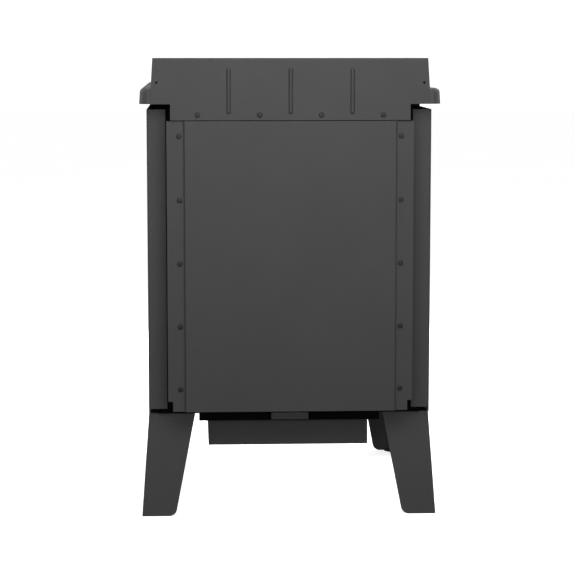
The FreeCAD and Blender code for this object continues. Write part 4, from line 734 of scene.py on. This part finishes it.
# round knobs on the air slider and the bypass rod, axis towards the front
knob = {"nodes": ("air_knob", "bypass_knob"),
        "steps": [(0.1, 4.6), (0.4, 4.9), (1.8, 4.9), (2.4, 4.3), (7, 4), (9, 4.6), (10.4, 6.4), (12, 9),
                  (14, 10.9), (17, 11.8), (20, 12), (23, 11.7), (26, 10.7), (28.6, 8.9), (30.6, 6.3),
                  (31.6, 3.4), (32, 0.6)]}
knobBlank = turned("knobBlank", knob["steps"])
for node in knob["nodes"]:
    wood = copyTo(knobBlank, panelSpot(node), towardsFront)
    wood.name = node.split("_")[0] + "Knob"
    dress(wood, bodyOf[node], ashAlongY, "turned_wood", node)
bpy.data.objects.remove(knobBlank)
print("knobs set")


# ash drawer pull: a turned wooden bar between two steel posts
pull = {"radius": 6 * mm, "postSides": 36,
        "bar": [(-53.5, 4.4), (-53, 5), (-50, 5.3), (-48.4, 4.6), (-46.8, 5.1), (-40, 5.5), (-20, 5.9),
                (0, 6), (20, 5.9), (40, 5.5), (46.8, 5.1), (48.4, 4.6), (50, 5.3), (53, 5), (53.5, 4.4)],
        "post": [(0.1, 8), (0.6, 8.6), (2.2, 8.6), (3.2, 7.6), (4, 5.2), (7, 4.3), (24, 4.3), (28, 4.8),
                 (31, 5.7), (34, 6), (38, 6), (40.4, 5.2), (41.6, 3.2), (42, 0.8)]}
pullLow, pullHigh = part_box("ash_handle")
pullX, pullPanel, pullZ = panelSpot("ash_handle")
bar = turned("ashPullBar", pull["bar"])
bar.rotation_euler = (0, math.pi / 2, 0)
bar.location = (pullX, pullLow.y + pull["radius"], pullZ)
dress(bar, "ash_drawer", ashAlongX, "turned_wood", "ash_handle")
postBlank = turned("postBlank", pull["post"], pull["postSides"])
posts = []
for postX in (pullLow.x + pull["radius"], pullHigh.x - pull["radius"]):
    posts.append(copyTo(postBlank, (postX, pullPanel, pullZ), towardsFront))
dress(joinAll(posts, "ashPullPosts"), "ash_drawer", flatBlackHeatPaint, "black_steel", "ash_handle")
bpy.data.objects.remove(postBlank)
print("drawer pull set")


# oven thermometer: steel bezel, white dial, ticks, a number every fifty degrees and a needle
dial = {"sides": 64, "start": 225, "sweep": 270, "face": 6.2 * mm,
        "bezel": [(0, 29.6), (0.3, 30), (6.6, 30), (8.2, 29.2), (8.9, 28), (9, 27), (8.6, 26.2), (6, 25.9)],
        "plate": [(5.9, 26), (6.2, 25.6), (6.2, 2)],
        "ticks": 36, "longEvery": 6, "tickRing": 21.5 * mm,
        "longTick": (4.2 * mm, 0.16 * mm, 0.8 * mm), "shortTick": (2.2 * mm, 0.16 * mm, 0.4 * mm),
        "numbers": (50, 100, 150, 200, 250, 300, 350), "numberRing": 15.6 * mm, "numberSize": 5 * mm,
        "numberRelief": 0.06 * mm, "numberLift": 0.02 * mm}
needle = {"reading": 0.08, "size": (24 * mm, 0.3 * mm, 1.8 * mm), "middle": 7 * mm, "lift": 0.9 * mm,
          "tip": 0.25, "hub": [(0.3, 2.6), (1.4, 2.6), (1.9, 2), (2, 0.6)], "hubSides": 32,
          "hubSunk": 0.3 * mm}
dialX, dialBack, dialZ = panelSpot("oven_thermometer")
dialFront = dialBack - dial["face"]


def dialAngle(share):
    return math.radians(dial["start"] - share * dial["sweep"])


def dialPoint(share, ring):
    angle = dialAngle(share)
    return dialX + ring * math.cos(angle), dialZ + ring * math.sin(angle)


def makeDial():
    bezel = turned("thermometerBezel", dial["bezel"], dial["sides"])
    plate = turned("thermometerDial", dial["plate"], dial["sides"])
    for piece, material in ((bezel, stainlessAlongX), (plate, dialWhite)):
        piece.rotation_euler = towardsFront
        piece.location = (dialX, dialBack, dialZ)
        dress(piece, "oven_door", material, "stainless", "oven_thermometer")


def markDial():
    marks = []
    for tick in range(dial["ticks"] + 1):
        share = tick / dial["ticks"]
        x, z = dialPoint(share, dial["tickRing"])
        bpy.ops.mesh.primitive_cube_add(size=1, location=(x, dialFront, z),
                                        rotation=(0, -dialAngle(share), 0))
        mark = bpy.context.object
        mark.scale = dial["shortTick"] if tick % dial["longEvery"] else dial["longTick"]
        marks.append(mark)
    for number, value in enumerate(dial["numbers"]):
        x, z = dialPoint(number / (len(dial["numbers"]) - 1), dial["numberRing"])
        bpy.ops.object.text_add(location=(x, dialFront - dial["numberLift"], z), rotation=towardsFront)
        word = bpy.context.object
        word.data.body = str(value)
        word.data.size = dial["numberSize"]
        word.data.extrude = dial["numberRelief"]
        word.data.align_x, word.data.align_y = "CENTER", "CENTER"
        bpy.ops.object.convert(target="MESH")
        marks.append(word)
    dress(joinAll(marks, "thermometerMarks"), "oven_door", dialInk, "stainless")


def makeNeedle():
    bpy.ops.object.select_all(action="DESELECT")
    x, z = dialPoint(needle["reading"], needle["middle"])
    bpy.ops.mesh.primitive_cube_add(size=1, location=(x, dialFront - needle["lift"], z),
                                    rotation=(0, -dialAngle(needle["reading"]), 0))
    hand = bpy.context.object
    hand.scale = needle["size"]
    take(hand)
    bpy.ops.object.transform_apply(scale=True)
    pick(hand, "FACE", lambda face: face.normal.x > facing)
    bpy.ops.transform.resize(value=(1, 1, needle["tip"]), center_override=(x, dialFront, z))
    bpy.ops.object.mode_set(mode="OBJECT")
    hub = turned("needleHub", needle["hub"], needle["hubSides"])
    hub.rotation_euler = towardsFront
    hub.location = (dialX, dialFront + needle["hubSunk"], dialZ)
    dress(joinAll([hand, hub], "thermometerNeedle"), "oven_door", dialRed, "stainless")


makeDial()
markDial()
makeNeedle()
print("thermometer set")


# rope seals: a twisted length is repeated round the door's groove and pressed flat
rope = {"doors": ("firebox", "oven"), "groove": 10 * mm, "corner": 4.5 * mm, "cornerSteps": 5,
        "radius": 4.4 * mm, "sides": 16, "strands": 4, "hollow": 0.8, "pitch": 12 * mm, "steps": 10,
        "flat": 0.54, "weld": 0.1 * mm, "seam": 0.3 * mm}


# the groove's middle line, lying flat at the origin
def ropePath(wide, tall):
    bpy.ops.object.select_all(action="DESELECT")
    bpy.ops.mesh.primitive_plane_add(size=1)
    path = bpy.context.object
    path.scale = (wide, tall, 1)
    bpy.ops.object.transform_apply(scale=True)
    bpy.ops.object.mode_set(mode="EDIT")
    bpy.ops.mesh.select_all(action="SELECT")
    bpy.ops.mesh.bevel(offset=rope["corner"], segments=rope["cornerSteps"], affect="VERTICES")
    bpy.ops.mesh.delete(type="ONLY_FACE")
    bpy.ops.object.mode_set(mode="OBJECT")
    bpy.ops.object.convert(target="CURVE")
    path.data.dimensions = "2D"
    return path


def makeRope(door):
    low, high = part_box(door + "_rope")
    path = ropePath(high.x - low.x - rope["groove"], high.z - low.z - rope["groove"])
    around = sum(spline.calc_length() for spline in path.data.splines)
    count = round(around / rope["pitch"])
    step = around / count
    bpy.ops.object.select_all(action="DESELECT")
    bpy.ops.mesh.primitive_circle_add(vertices=rope["sides"], radius=rope["radius"],
                                      rotation=(0, math.pi / 2, 0))
    seal = bpy.context.object
    seal.name = door + "RopeSeal"
    bpy.ops.object.transform_apply(rotation=True)
    strand = rope["sides"] // rope["strands"]
    pick(seal, "VERT", lambda point: point.index % strand == strand // 2)
    bpy.ops.transform.resize(value=(1, rope["hollow"], rope["hollow"]), center_override=(0, 0, 0))
    bpy.ops.object.mode_set(mode="OBJECT")
    applyModifier(seal, "SCREW", axis="X", angle=2 * math.pi / rope["strands"], screw_offset=step,
                  steps=rope["steps"], render_steps=rope["steps"], use_merge_vertices=False)
    applyModifier(seal, "ARRAY", count=count, use_relative_offset=False, use_constant_offset=True,
                  constant_offset_displace=(step, 0, 0), use_merge_vertices=True,
                  merge_threshold=rope["weld"])
    applyModifier(seal, "CURVE", object=path, deform_axis="POS_X")
    bpy.data.objects.remove(path)
    take(seal)
    bpy.ops.object.mode_set(mode="EDIT")
    bpy.ops.mesh.select_all(action="SELECT")
    bpy.ops.mesh.remove_doubles(threshold=rope["seam"])
    bpy.ops.mesh.normals_make_consistent(inside=False)
    bpy.ops.object.mode_set(mode="OBJECT")
    seal.scale = (1, 1, rope["flat"])
    bpy.ops.object.transform_apply(scale=True)
    seal.rotation_euler = towardsFront
    seal.location = (low + high) / 2
    smooth(seal, angle=60)
    dress(seal, door + "_door", glassFibre, "glass_fibre", door + "_rope")


for door in rope["doors"]:
    makeRope(door)
print("rope seals set")
